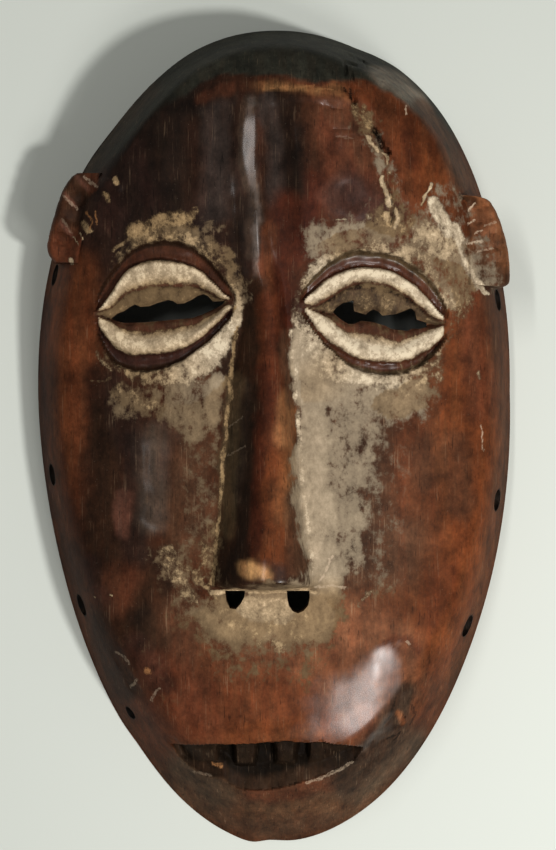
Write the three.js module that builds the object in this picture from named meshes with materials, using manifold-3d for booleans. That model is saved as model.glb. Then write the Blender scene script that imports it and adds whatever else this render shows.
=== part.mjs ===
// A carved wooden face mask, all one piece of wood: an egg-shaped hollow shell with a long
// wedge nose, two lens-shaped eyes with pierced slits, a blind mouth with worn teeth, two small
// ears on the flanks and holes for cords along the rim. It lies on its flat rim, face up.
// Millimetres, +Z out of the face, +Y towards the crown, +X to the viewer's right.
import * as THREE from "three";
import { mergeVertices } from "three/addons/utils/BufferGeometryUtils.js";
import Module from "manifold-3d";

const wasm = await Module();
wasm.setup();

// Driving sizes of the whole mask
const LENGTH = 280;
const WIDTH = 162.4;
const WAIST_Y = 15; // the widest row lies this far above the middle
const CROWN_REACH = LENGTH / 2 - WAIST_Y;
const CHIN_REACH = LENGTH / 2 + WAIST_Y;
const CROWN_POWER = 2.15; // superellipse powers of the outline's two halves
const CHIN_POWER = 1.93;

// The outline was cut by eye: [angle in degrees from +X, how far it stands out of the superellipse]
const OUTLINE_TRIM = [
  [0, 0.3],
  [12, 0.7],
  [24, 0.9],
  [36, 2],
  [48, 2.8],
  [60, 2.3],
  [66, 1.2],
  [72, 0.1],
  [90, 0.1],
  [108, -1],
  [120, -2.4],
  [132, -2.7],
  [144, -0.6],
  [156, 0],
  [168, 0.4],
  [180, 0.3],
  [192, -0.4],
  [204, -1],
  [216, -1.2],
  [228, -1.3],
  [234, -1.9],
  [246, -0.7],
  [258, 0.5],
  [264, 1],
  [269, -0.4],
  [276, 0.4],
  [288, 1.3],
  [300, 2.4],
  [312, 2.7],
  [324, 2.3],
  [336, 2],
  [348, 1.25],
  [360, 0.3],
];

// Height of the face along its middle, without the nose: [y, z]
const MIDDLE_LINE = [
  [-150, 9],
  [-135, 19],
  [-120, 29],
  [-105, 37],
  [-85, 40.5],
  [-60, 41.5],
  [-30, 41.5],
  [10, 42],
  [35, 44],
  [55, 48],
  [75, 51.5],
  [95, 51],
  [112, 47.5],
  [126, 40],
  [134, 32],
  [140, 24],
];
const CHEEK_DROP = 22; // fall from the middle to the waist's edge
const FOREHEAD_DROP = 36;
const CHIN_DROP = 30;
const DROP_POWER = 2.4;
const FLANK_RISE_SIDE = 270; // height that the flank would reach over the middle
const FLANK_RISE_CROWN = 440;
const FLANK_RISE_CHIN = 205;
const SHOULDER_ROUND = 12; // how softly the face turns into the flank
const CROWN_ROUND = 4; // the edge between forehead and cap is crisper

// The hollow behind the face
const RIM_WIDTH = 9;
const CHIN_BLOCK = 17; // solid wood left at the chin
const WALL = 11;
const MOUTH_WALL = 20;
const HOLLOW_RISE = 190;
const EYE_SCOOP = 4.5; // the wall is cut thinner behind each eye
const EYE_SCOOP_RADIUS = 24;

// The raised band of the forehead that runs down into the nose. The left side is a broad flat
// slope, the right side is steep: [y, left foot, left of the back, right of the back, right foot, height]
const NOSE_STATIONS = [
  [115, -9, -7, -5.6, -3.8, 0],
  [108, -10.6, -7.6, -5.6, -2, 1.8],
  [90, -11.6, -8.2, -6, -1.8, 2.6],
  [72, -12, -8.2, -5.4, -0.6, 2.8],
  [60, -11.4, -7, -3.2, 1.4, 3.3],
  [48, -10, -5, -0.6, 3.2, 4.8],
  [37.5, -10, -3.8, 1.2, 4.2, 6.8],
  [17, -14.3, -4.4, 2.6, 6, 10.6],
  [-4, -15.6, -5.4, 3.6, 7.6, 13.6],
  [-24, -17.4, -6.4, 5, 9.2, 16.2],
  [-38, -19.4, -8, 6.8, 11.2, 18.2],
  [-46, -20.2, -8.8, 8, 12.9, 19],
];
const NOSE_TIP_Y = -47;
const NOSE_FOOT_Y = -50.3;
const NOSE_TIP_ROUND = 1.8;

// Shallow flutes down the forehead beside the band: rows of [y, x, half width, depth]
const FLUTES = [
  [
    [107, 0.5, 4, 0],
    [98, 1.4, 5.4, 1.3],
    [84, 2.2, 6, 1.7],
    [70, 4, 5.4, 1.2],
    [58, 6.6, 4, 0],
  ],
  [
    [109, -17.5, 3, 0],
    [102, -17.2, 4.4, 1.2],
    [88, -17.4, 4.8, 1.3],
    [74, -19, 4.8, 1],
    [64, -21, 4, 0],
  ],
  [
    [103, -29, 4, 0],
    [94, -30, 5.6, 0.9],
    [82, -32, 5.8, 0.8],
    [72, -35, 4, 0],
  ],
];

// The eyes. Lens sizes are [half length, sag above, sag below]
const EYES = [
  { x: -36.2, y: 42.9, tilt: 5.9, socket: [24.3, 22.3], lens: [22.6, 15.4, 16.2], slit: [18.8, 3.2, 3.4] },
  { x: 32.9, y: 39.9, tilt: -6.4, socket: [25.6, 21.7], lens: [24, 15, 15.8], slit: [16.6, 3.6, 4.2] },
];
const SOCKET_DEPTH = 3.4;
const LID_CREST_DEPTH = 0.3;
const LID_INNER_DEPTH = 2;
const RECESS_DEPTH = 5.2;
const SLIT_DEPTH = 6.4;

// The mouth, cut into the wood without passing through
const MOUTH = { x: -3.4, y: -102.6, halfLength: 30.3, sagAbove: 0.9, sagBelow: 15.6 };
const MOUTH_DEPTH = 10;
const TOOTH_SPANS = [[-32.5, -18.2], [-13.9, -6.3], [-1.6, 7], [9.3, 23.8]];
const TOOTH_HEIGHT = 4.4;
const TOOTH_DROP = 9;

// The nostrils, pierced under the nose: [x of the middle, half width, length down]
const NOSTRILS = [[-12.9, 3, 5.8], [8.6, 3.9, 7.6]];

// The ears, flat tabs whose fronts lie level with the temples. Rows run from the lower end to the
// upper: [inner x, inner y, outer x, outer y, depth of the hollow in the front]
const EARS = [
  {
    rows: [
      [-69.2, 57.6, -73.6, 58.4, 0],
      [-67.6, 60, -75.5, 61, 0.4],
      [-66, 62.4, -76, 63.8, 0.8],
      [-63.4, 65.6, -75.5, 66.8, 1.4],
      [-61, 69, -74.8, 70, 2.6],
      [-59, 73.4, -73.6, 74.2, 3.6],
      [-58.6, 77.8, -72.2, 78.8, 2.6],
      [-59.4, 82, -70.4, 83.2, 1.4],
      [-62, 85.6, -68, 86.6, 0.6],
      [-64, 87.4, -66.2, 87.9, 0],
    ],
    frontInner: 32.5,
    frontOuter: 28,
  },
  {
    rows: [
      [71.4, 50.4, 76.6, 50, 0],
      [68.4, 52, 78.8, 51.4, 0.2],
      [66, 56, 79, 56, 0.6],
      [64.5, 60.4, 78.7, 60.4, 0.9],
      [63.3, 64.4, 78, 64.6, 1.3],
      [62.2, 68.6, 76.8, 69, 2.4],
      [61.4, 72.8, 75.3, 73.4, 3.8],
      [60.8, 76.6, 73.6, 76.8, 4],
      [61.4, 79.2, 71.8, 79, 2.6],
      [63.8, 80.2, 68.6, 80, 0.4],
    ],
    frontInner: 33,
    frontOuter: 29,
  },
];
const EAR_UNDER_Z = 15;
const EAR_ROOT_DEPTH = 3.4; // how far an ear is let into the flank, for the join
const EAR_NOTCHES = [2.6, 3.7, 4.8, 5.9, 7]; // where along the rows the slanting cuts lie
const EAR_NOTCH_WIDTH = 0.9;
const EAR_NOTCH_DEPTH = 0.9;

// Holes for cords through the flanks: [x, y, radius, direction out in degrees from +X]
const CORD_HOLES = [
  [-76, 54.9, 3.6, 180],
  [-76.7, -13.2, 3.6, 180],
  [-67.8, -57.6, 3.6, 180],
  [-51.2, -96.4, 2.4, 222],
  [78.1, 46.4, 3.6, 0],
  [78.1, -21.8, 3.6, 0],
  [70, -64.7, 3.6, 0],
];
const CORD_HOLE_Z = 11.6;
const CORD_HOLE_LENGTH = 50;
const CORD_HOLE_SIDES = 14;

// Fineness of the facets
const SPOKES = 80;
const OUTER_RINGS = [1, 0.975, 0.945, 0.92, 0.895, 0.865, 0.83, 0.795, 0.76, 0.7, 0.62, 0.52, 0.4, 0.27, 0.13];
const HOLLOW_RINGS = [1, 0.97, 0.93, 0.87, 0.78, 0.65, 0.48, 0.26];
const EYE_POINTS = 44;
const MOUTH_POINTS = 36;
const ABOVE = 14; // cutters stand this far proud of the wood

const smoothstep = (from, to, v) => THREE.MathUtils.smoothstep(v, from, to);

// The lesser of two heights with the corner between them rounded off.
function smoothMin(a, b, round) {
  const h = Math.max(round - Math.abs(a - b), 0) / round;
  return Math.min(a, b) - (h * h * round) / 4;
}

// A smooth value at y from a table whose rows are [y, value, ...], by Catmull-Rom.
function along(table, y, column = 1) {
  const rows = table[0][0] < table[table.length - 1][0] ? table : [...table].reverse();
  const last = rows.length - 1;
  if (y <= rows[0][0]) return rows[0][column];
  if (y >= rows[last][0]) return rows[last][column];
  const i = rows.findIndex((row) => row[0] > y) - 1;
  const slope = (k) => {
    const [low, high] = [rows[Math.max(k - 1, 0)], rows[Math.min(k + 1, last)]];
    return (high[column] - low[column]) / (high[0] - low[0]);
  };
  const span = rows[i + 1][0] - rows[i][0];
  const t = (y - rows[i][0]) / span;
  const [t2, t3] = [t * t, t * t * t];
  return (
    (2 * t3 - 3 * t2 + 1) * rows[i][column] +
    (t3 - 2 * t2 + t) * span * slope(i) +
    (3 * t2 - 2 * t3) * rows[i + 1][column] +
    (t3 - t2) * span * slope(i + 1)
  );
}

// How much further out than its superellipse the outline lies, at a superellipse angle.
function trimShare(angle, across, up) {
  const degrees = (THREE.MathUtils.radToDeg(angle) + 360) % 360;
  return 1 + along(OUTLINE_TRIM, degrees) / Math.hypot(across, up);
}

// A point in plan on the outline, or on one drawn in by the given insets and scaled about the waist.
function outlinePoint(angle, share = 1, inset = { side: 0, crown: 0, chin: 0 }) {
  const upper = Math.sin(angle) >= 0;
  const power = 2 / (upper ? CROWN_POWER : CHIN_POWER);
  const reach = upper ? CROWN_REACH - inset.crown : CHIN_REACH - inset.chin;
  const across = (WIDTH / 2 - inset.side) * Math.sign(Math.cos(angle)) * Math.abs(Math.cos(angle)) ** power;
  const up = reach * Math.sign(Math.sin(angle)) * Math.abs(Math.sin(angle)) ** power;
  const scale = share * trimShare(angle, across, up);
  return [scale * across, WAIST_Y + scale * up];
}

// How far out a point in plan lies, from 0 at the waist's middle to 1 on the outline.
function outwardShare(x, y) {
  const upper = y >= WAIST_Y;
  const power = upper ? CROWN_POWER : CHIN_POWER;
  const reach = upper ? CROWN_REACH : CHIN_REACH;
  const across = Math.abs(x) / (WIDTH / 2);
  const up = Math.abs(y - WAIST_Y) / reach;
  const share = (across ** power + up ** power) ** (1 / power);
  if (share < 1e-6) return 0;
  const angle = Math.atan2(Math.sign(y - WAIST_Y) * up ** (power / 2), Math.sign(x) * across ** (power / 2));
  return share / trimShare(angle, x / share, (y - WAIST_Y) / share);
}

// Height of the face's gentle front, before it meets the flank.
function frontHeight(x, y) {
  const forehead = smoothstep(35, 90, y);
  const chin = smoothstep(60, 110, -y);
  const drop = CHEEK_DROP + (FOREHEAD_DROP - CHEEK_DROP) * forehead + (CHIN_DROP - CHEEK_DROP) * chin;
  return along(MIDDLE_LINE, y) - drop * (Math.abs(x) / (WIDTH / 2)) ** DROP_POWER;
}

// Height of the mask's outside at a point in plan, before anything is carved into it.
function faceHeight(x, y) {
  const share = outwardShare(x, y);
  const [reach, endRise] = y >= WAIST_Y ? [CROWN_REACH, FLANK_RISE_CROWN] : [CHIN_REACH, FLANK_RISE_CHIN];
  const endwise = Math.min(((y - WAIST_Y) / reach) ** 2, 1);
  const rise = FLANK_RISE_SIDE + (endRise - FLANK_RISE_SIDE) * endwise;
  const round = SHOULDER_ROUND + (CROWN_ROUND - SHOULDER_ROUND) * smoothstep(70, 105, y);
  return smoothMin(frontHeight(x, y), rise * (1 - share), round);
}

// Height of the hollow's roof. The wall is thicker round the mouth and thinner behind the eyes.
function hollowHeight(x, y, share) {
  const wall = WALL + (MOUTH_WALL - WALL) * smoothstep(72, 100, -y);
  const scoop = EYES.reduce(
    (sum, eye) => sum + Math.exp(-(((x - eye.x) ** 2 + (y - eye.y) ** 2) / EYE_SCOOP_RADIUS ** 2)),
    0,
  );
  return smoothMin(frontHeight(x, y) - wall + EYE_SCOOP * scoop, HOLLOW_RISE * (1 - share), SHOULDER_ROUND);
}

// A closed solid through a stack of rings with equally many points, each end closed by a fan.
function loft(rings) {
  const count = rings[0].length;
  const middle = (ring) => [0, 1, 2].map((k) => ring.reduce((sum, p) => sum + p[k], 0) / count);
  const points = [...rings.flat(), middle(rings[0]), middle(rings[rings.length - 1])];
  const first = rings.length * count;
  const faces = [];
  rings.forEach((_, r) => {
    for (let i = 0; i < count; i++) {
      const next = (i + 1) % count;
      const [a, b] = [r * count + i, r * count + next];
      if (r === 0) faces.push([first, b, a]);
      if (r === rings.length - 1) faces.push([first + 1, a, b]);
      else faces.push([a, b, b + count], [a, b + count, a + count]);
    }
  });
  return solidOf(points, faces);
}

// A manifold solid from points and triangles, with the faces turned outwards.
function solidOf(points, faces) {
  const corner = new THREE.Vector3();
  const volume = faces.reduce((sum, face) => {
    const [a, b, c] = face.map((k) => new THREE.Vector3(...points[k]));
    return sum + corner.crossVectors(b, c).dot(a);
  }, 0);
  const turned = volume < 0 ? faces.map(([a, b, c]) => [a, c, b]) : faces;
  const geometry = new THREE.BufferGeometry();
  geometry.setAttribute("position", new THREE.Float32BufferAttribute(points.flat(), 3));
  geometry.setIndex(turned.flat());
  return manifoldOf(geometry);
}

// A manifold solid from a closed three.js geometry.
function manifoldOf(geometry) {
  const bare = geometry.clone();
  bare.deleteAttribute("normal");
  bare.deleteAttribute("uv");
  const merged = mergeVertices(bare, 1e-4);
  return new wasm.Manifold(
    new wasm.Mesh({
      numProp: 3,
      vertProperties: new Float32Array(merged.attributes.position.array),
      triVerts: new Uint32Array(merged.index.array),
    }),
  );
}

// Points of a lens with its corners on the local x axis; fullness 1 is an ellipse, 2 a sharp lens.
function lensPoints([halfLength, above, below], fullness, count, tilt = 0) {
  const turn = THREE.MathUtils.degToRad(tilt);
  return Array.from({ length: count }, (_, i) => {
    const angle = (2 * Math.PI * i) / count;
    const u = halfLength * Math.cos(angle);
    const sag = Math.sin(angle) >= 0 ? above : -below;
    const v = sag * Math.abs(Math.sin(angle)) ** fullness;
    return [u * Math.cos(turn) - v * Math.sin(turn), u * Math.sin(turn) + v * Math.cos(turn)];
  });
}

// The hollow egg-shaped shell with its flat rim.
function shell() {
  const angles = Array.from({ length: SPOKES }, (_, i) => (2 * Math.PI * i) / SPOKES);
  const inset = { side: RIM_WIDTH, crown: RIM_WIDTH, chin: CHIN_BLOCK };
  const outside = OUTER_RINGS.map((share) =>
    angles.map((angle) => {
      const [x, y] = outlinePoint(angle, share);
      return [x, y, share === 1 ? 0 : faceHeight(x, y)];
    }),
  );
  const hollow = HOLLOW_RINGS.map((share) =>
    angles.map((angle) => {
      const [x, y] = outlinePoint(angle, share, inset);
      return [x, y, share === 1 ? 0 : hollowHeight(x, y, share)];
    }),
  );
  return loft([...outside.reverse(), ...hollow]);
}

// The nose and the raised band above it, with a broad left side and a steep right side.
function nose() {
  const section = ([y, leftFoot, leftBack, rightBack, rightFoot, height], foot, round) => {
    const width = rightBack - leftBack;
    const outline = [
      [leftFoot + round, -6],
      [leftFoot + round, 0],
      [leftFoot + (leftBack - leftFoot) * 0.5 + round * 0.5, height * 0.47],
      [leftBack + round * 0.5, height * 0.88],
      [leftBack + width * 0.25, height * 0.975],
      [(leftBack + rightBack) / 2, height],
      [rightBack - width * 0.25, height * 0.965],
      [rightBack - round * 0.5, height * 0.86],
      [rightBack + (rightFoot - rightBack) * 0.55 - round * 0.5, height * 0.45],
      [rightFoot - round, 0],
      [rightFoot - round, -6],
    ];
    return outline.map(([x, up]) => {
      const lean = Math.max(up, 0) / Math.max(height, 1);
      return [x, y + (foot - y) * (1 - lean), faceHeight(x, y) + up];
    });
  };
  const last = NOSE_STATIONS[NOSE_STATIONS.length - 1];
  const [, leftFoot, leftBack, rightBack, rightFoot, height] = last;
  const tip = [NOSE_TIP_Y, leftFoot, leftBack, rightBack, rightFoot, height - NOSE_TIP_ROUND];
  return loft([
    ...NOSE_STATIONS.map((station) => section(station, station[0], 0)),
    section(tip, NOSE_FOOT_Y, NOSE_TIP_ROUND),
  ]);
}

// A shallow flute: a trough whose floor follows the face at a depth.
function fluteCutter(rows) {
  return loft(
    rows.map(([y, x, halfWidth, depth]) => {
      const across = [-1, -0.6, 0, 0.6, 1];
      const floor = across.map((u) => {
        const dip = depth * (1 - u * u) - (Math.abs(u) === 1 ? 0.15 : 0) - 0.05;
        return [x + u * halfWidth, y, faceHeight(x + u * halfWidth, y) - dip];
      });
      const lid = [1, -1].map((u) => [x + u * halfWidth * 1.2, y, faceHeight(x, y) + ABOVE]);
      return [...floor, ...lid];
    }),
  );
}

// What is cut away for one eye: a round socket that leaves the two raised lids standing.
function eyeCutter(eye) {
  const [a, b] = eye.socket;
  const [length, above, below] = eye.lens;
  const lens = (grow, aboveSag, belowSag) => [length + grow, aboveSag, belowSag];
  const rings = [
    [[a * 1.04, b * 1.04, b * 1.04], 1, -ABOVE],
    [[a * 1.03, b * 1.03, b * 1.03], 1, -1.4],
    [[a * 0.95, b * 0.94, b * 0.94], 1, SOCKET_DEPTH - 0.5],
    [[a * 0.93, b * 0.88, b * 0.88], 1.05, SOCKET_DEPTH],
    [lens(-0.6, above, below), 1.35, SOCKET_DEPTH - 0.3],
    [lens(-1.6, above - 2.2, below - 2.2), 1.4, LID_CREST_DEPTH],
    [lens(-2.6, above - 4.4, below - 4.4), 1.45, LID_CREST_DEPTH + 0.4],
    [lens(-3.6, above - 6.4, below - 6.4), 1.5, LID_INNER_DEPTH + 0.6],
    [[eye.slit[0] + 0.8, eye.slit[1] + 2.6, eye.slit[2] + 2.6], 1.5, RECESS_DEPTH],
    [eye.slit, 1.5, SLIT_DEPTH],
  ];
  return loft(
    rings.map(([size, fullness, depth]) =>
      lensPoints(size, fullness, EYE_POINTS, eye.tilt).map(([u, v]) => {
        const [x, y] = [eye.x + u, eye.y + v];
        return [x, y, faceHeight(x, y) - depth];
      }),
    ),
  );
}

// The slit through the wall of one eye.
function slitCutter(eye) {
  const ring = (z) => lensPoints(eye.slit, 1.5, EYE_POINTS, eye.tilt).map(([u, v]) => [eye.x + u, eye.y + v, z]);
  return loft([ring(5), ring(LENGTH / 4)]);
}

// What is cut away for the mouth. The lower wall slopes up into the wood.
function mouthCutter() {
  const ring = (grow, above, below, depth) =>
    lensPoints([MOUTH.halfLength + grow, above, below], 1.3, MOUTH_POINTS).map(([u, v]) => {
      const [x, y] = [MOUTH.x + u, MOUTH.y + v];
      return [x, y, faceHeight(x, y) - depth];
    });
  return loft([
    ring(1.2, MOUTH.sagAbove + 0.4, MOUTH.sagBelow + 1.4, -ABOVE),
    ring(1, MOUTH.sagAbove + 0.3, MOUTH.sagBelow + 1.2, -1.2),
    ring(-2.5, MOUTH.sagAbove, MOUTH.sagBelow - 4, MOUTH_DEPTH * 0.7),
    ring(-5, MOUTH.sagAbove - 0.2, MOUTH.sagBelow - 6.5, MOUTH_DEPTH),
  ]);
}

// One worn tooth standing on the floor of the mouth under the upper lip.
function tooth([from, to]) {
  const ring = (shrink, depth) =>
    [[from + shrink, 1], [to - shrink, 1], [to - shrink * 1.6, shrink - TOOTH_DROP], [from + shrink * 1.6, shrink - TOOTH_DROP]].map(
      ([x, v]) => [x, MOUTH.y + v, faceHeight(x, MOUTH.y + v) - depth],
    );
  return loft([ring(0, MOUTH_DEPTH + 2), ring(0.7, MOUTH_DEPTH - TOOTH_HEIGHT)]);
}

// One nostril: a hole with a flat top against the nose and a round lower side.
function nostrilCutter([x, halfWidth, length]) {
  const ring = (z) =>
    Array.from({ length: 13 }, (_, i) => {
      const angle = Math.PI + (Math.PI * i) / 12;
      return [x + halfWidth * Math.cos(angle), NOSE_FOOT_Y - 0.2 + length * Math.sin(angle) ** 1, z];
    });
  return loft([ring(5), ring(LENGTH / 4)]);
}

// The x at which the flank's outside reaches a height, on one side of the face at y.
function flankX(side, y, z) {
  let [near, far] = [0, WIDTH / 2 + 4];
  for (let i = 0; i < 24; i++) {
    const middle = (near + far) / 2;
    if (faceHeight(side * middle, y) > z) near = middle;
    else far = middle;
  }
  return side * near;
}

// A cross-section of an ear at a row: inner edge, hollowed front, rounded outer edge and underside.
function earSection(ear, [innerX, innerY, outerX, outerY, hollow]) {
  const side = Math.sign(outerX);
  const temple = Math.abs(flankX(side, innerY, ear.frontInner - 0.4));
  const startX = side * Math.min(Math.abs(innerX), temple);
  const point = (share, z) => [startX + (outerX - startX) * share, innerY + (outerY - innerY) * share, z];
  const front = (share) => ear.frontInner + (ear.frontOuter - ear.frontInner) * share;
  const rootX = flankX(side, outerY, EAR_UNDER_Z) - side * EAR_ROOT_DEPTH;
  return [
    [startX - side * 1.5, innerY, ear.frontInner - 6],
    point(0, front(0)),
    point(0.2, front(0.2) - hollow * 0.8),
    point(0.42, front(0.42) - hollow),
    point(0.66, front(0.66) - hollow * 0.35),
    point(0.86, front(0.86)),
    point(0.97, front(1) - 1.6),
    point(1, front(1) - 5),
    point(0.97, EAR_UNDER_Z + 3),
    point(0.82, EAR_UNDER_Z),
    [rootX, outerY, EAR_UNDER_Z],
  ];
}

// One ear, let into the flank.
function earTab(ear) {
  return loft(ear.rows.map((row) => earSection(ear, row)));
}

// A slanting cut across the front of an ear, at a place along its rows.
function earNotch(ear, place) {
  const i = Math.floor(place);
  const row = ear.rows[i].map((value, k) => value + (ear.rows[i + 1][k] - value) * (place - i));
  const [innerX, innerY, outerX, outerY, hollow] = row;
  const ring = (share, lift, drop) => {
    const x = innerX + (outerX - innerX) * share;
    const y = innerY + (outerY - innerY) * share + lift;
    const z = ear.frontInner + (ear.frontOuter - ear.frontInner) * share;
    return [
      [x, y - EAR_NOTCH_WIDTH, z + 0.4],
      [x, y - EAR_NOTCH_WIDTH, z + 3],
      [x, y + EAR_NOTCH_WIDTH, z + 3],
      [x, y + EAR_NOTCH_WIDTH, z + 0.4],
      [x, y, z - drop],
    ];
  };
  return loft([
    ring(0.35, -1.3, EAR_NOTCH_DEPTH * 0.6 + hollow * 0.8),
    ring(0.8, 0.6, EAR_NOTCH_DEPTH),
    ring(1.06, 1.6, EAR_NOTCH_DEPTH + 1),
  ]);
}

// One cord hole through the flank.
function cordHole([x, y, radius, direction]) {
  const bore = new THREE.CylinderGeometry(radius, radius, CORD_HOLE_LENGTH, CORD_HOLE_SIDES);
  bore.rotateZ(Math.PI / 2);
  bore.rotateZ(THREE.MathUtils.degToRad(direction));
  bore.translate(x, y, CORD_HOLE_Z);
  return manifoldOf(bore);
}

// The whole mask, joined and cut into one solid.
function mask() {
  let wood = shell().add(nose());
  for (const rows of FLUTES) wood = wood.subtract(fluteCutter(rows));
  for (const ear of EARS) {
    wood = wood.add(earTab(ear));
    for (const place of EAR_NOTCHES) wood = wood.subtract(earNotch(ear, place));
  }
  for (const eye of EYES) wood = wood.subtract(eyeCutter(eye)).subtract(slitCutter(eye));
  wood = wood.subtract(mouthCutter());
  for (const span of TOOTH_SPANS) wood = wood.add(tooth(span));
  for (const nostril of NOSTRILS) wood = wood.subtract(nostrilCutter(nostril));
  for (const hole of CORD_HOLES) wood = wood.subtract(cordHole(hole));
  return wood;
}

// A three.js mesh from a manifold solid.
function meshOf(solid, name, material) {
  const { numProp, numVert, vertProperties, triVerts } = solid.getMesh();
  const positions = new Float32Array(numVert * 3);
  for (let i = 0; i < numVert; i++) {
    positions.set(vertProperties.subarray(i * numProp, i * numProp + 3), i * 3);
  }
  const geometry = new THREE.BufferGeometry();
  geometry.setAttribute("position", new THREE.BufferAttribute(positions, 3));
  geometry.setIndex(new THREE.BufferAttribute(triVerts, 1));
  geometry.computeVertexNormals();
  const mesh = new THREE.Mesh(geometry, material);
  mesh.name = name;
  return mesh;
}

const patinatedWood = new THREE.MeshStandardMaterial({ color: 0x5a2e1a, roughness: 0.45, metalness: 0 });

const group = new THREE.Group();
group.add(meshOf(mask(), "mask", patinatedWood));

export default group;
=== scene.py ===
"""A lega mask: one hollow piece of dark carved wood with a long nose, two pierced almond eyes, a
blind mouth with worn teeth, two small ears and remains of white clay, lying face up on its rim.

Lengths in the tables are millimetres, +Z out of the face, +Y towards the crown and +X to the
viewer's right. Meshes are written in metres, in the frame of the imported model.
"""

import logging
import math
from dataclasses import dataclass
from enum import Enum

import bpy
import numpy as np
from mathutils import Matrix, Vector


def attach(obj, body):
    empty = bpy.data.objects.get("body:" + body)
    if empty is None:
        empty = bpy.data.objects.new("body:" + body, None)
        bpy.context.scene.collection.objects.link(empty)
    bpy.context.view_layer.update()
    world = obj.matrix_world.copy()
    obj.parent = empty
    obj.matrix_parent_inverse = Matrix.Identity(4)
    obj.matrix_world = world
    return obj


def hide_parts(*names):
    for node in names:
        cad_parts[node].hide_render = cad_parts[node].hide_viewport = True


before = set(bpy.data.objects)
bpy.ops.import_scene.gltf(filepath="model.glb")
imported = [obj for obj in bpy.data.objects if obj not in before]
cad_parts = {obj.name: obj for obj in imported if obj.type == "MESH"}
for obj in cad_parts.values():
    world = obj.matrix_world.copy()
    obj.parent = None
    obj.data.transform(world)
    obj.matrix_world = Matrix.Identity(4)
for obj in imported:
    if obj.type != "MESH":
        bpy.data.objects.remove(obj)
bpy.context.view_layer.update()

MM = 0.001
Rows = tuple[tuple[float, ...], ...]
Path = tuple[tuple[float, float], ...]
Colour = tuple[float, float, float]
Span = tuple[float, float, float, float]  # a range of a pattern, and what it becomes at both ends
Values = np.ndarray
Piece = bpy.types.Object
Socket = bpy.types.NodeSocket

log = logging.getLogger("mask")


def smoothstep(low: float, high: float, value: Values) -> Values:
    """Fade from 0 at the low value to 1 at the high one, flat at both ends."""
    t = np.clip((value - low) / (high - low), 0, 1)
    return t * t * (3 - 2 * t)


def smooth_min(a: Values, b: Values, rounding: float) -> Values:
    """Take the lesser of two heights with the corner between them rounded off."""
    h = np.clip(rounding - np.abs(a - b), 0, None) / rounding
    return np.minimum(a, b) - h * h * rounding / 4


def along(table: Rows, place: Values, column: int = 1) -> Values:
    """Read a smooth curve through the rows of a table.

    Args:
        table: rows whose first number is the place.
        place: where to read it; past the ends the end rows hold.
        column: which number of the rows to read.

    Returns:
        The values there.
    """
    rows = np.array(sorted(table))
    knots, values = rows[:, 0], rows[:, column]
    last = len(knots) - 1
    low = np.maximum(np.arange(last + 1) - 1, 0)
    high = np.minimum(np.arange(last + 1) + 1, last)
    slopes = (values[high] - values[low]) / (knots[high] - knots[low])
    i = np.clip(np.searchsorted(knots, place, side="right") - 1, 0, last - 1)
    span = knots[i + 1] - knots[i]
    t = np.clip((place - knots[i]) / span, 0, 1)
    t2, t3 = t * t, t * t * t
    return (
        (2 * t3 - 3 * t2 + 1) * values[i]
        + (t3 - 2 * t2 + t) * span * slopes[i]
        + (3 * t2 - 2 * t3) * values[i + 1]
        + (t3 - t2) * span * slopes[i + 1]
    )


def path_distance(path: Path, x: Values, y: Values) -> Values:
    """Measure the distance in plan to a line of points.

    Args:
        path: the points.
        x, y: places across and up.

    Returns:
        The distance to the nearest stretch of the line.
    """
    nearest = np.hypot(x - path[0][0], y - path[0][1])
    for (ax, ay), (bx, by) in zip(path, path[1:]):
        length = (bx - ax) ** 2 + (by - ay) ** 2
        t = np.clip(((x - ax) * (bx - ax) + (y - ay) * (by - ay)) / length, 0, 1)
        nearest = np.minimum(nearest, np.hypot(x - ax - t * (bx - ax), y - ay - t * (by - ay)))
    return nearest


class SoftNoise:
    """Unevenness of hand work, the same at every run."""

    SIDE = 128

    def __init__(self, seed: int) -> None:
        """Draw the lattice that the noise is read from.

        Args:
            seed: picks one of the patterns.
        """
        self.lattice = np.random.default_rng(seed).uniform(-1, 1, (self.SIDE, self.SIDE))

    def plain(self, x: Values, y: Values) -> Values:
        """Read one octave.

        Args:
            x: places across, one lattice step a unit.
            y: places up.

        Returns:
            Values between -1 and 1.
        """
        i, j = np.floor(x).astype(int), np.floor(y).astype(int)
        u, v = smoothstep(0, 1, x - i), smoothstep(0, 1, y - j)
        at = self.lattice
        i, j, k, m = i % self.SIDE, j % self.SIDE, (i + 1) % self.SIDE, (j + 1) % self.SIDE
        low = at[i, j] * (1 - u) + at[k, j] * u
        high = at[i, m] * (1 - u) + at[k, m] * u
        return low * (1 - v) + high * v

    def at(self, x: Values, y: Values, size: float, octaves: int = 3) -> Values:
        """Read several octaves.

        Args:
            x, y: places across and up.
            size: width of the largest unevenness.
            octaves: how many halvings are added.

        Returns:
            Values mostly between -1 and 1.
        """
        total = np.zeros(np.shape(x))
        for k in range(octaves):
            total += self.plain(x * 2**k / size + 17.3 * k, y * 2**k / size + 9.1 * k) / 2**k
        return total / 1.5


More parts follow.
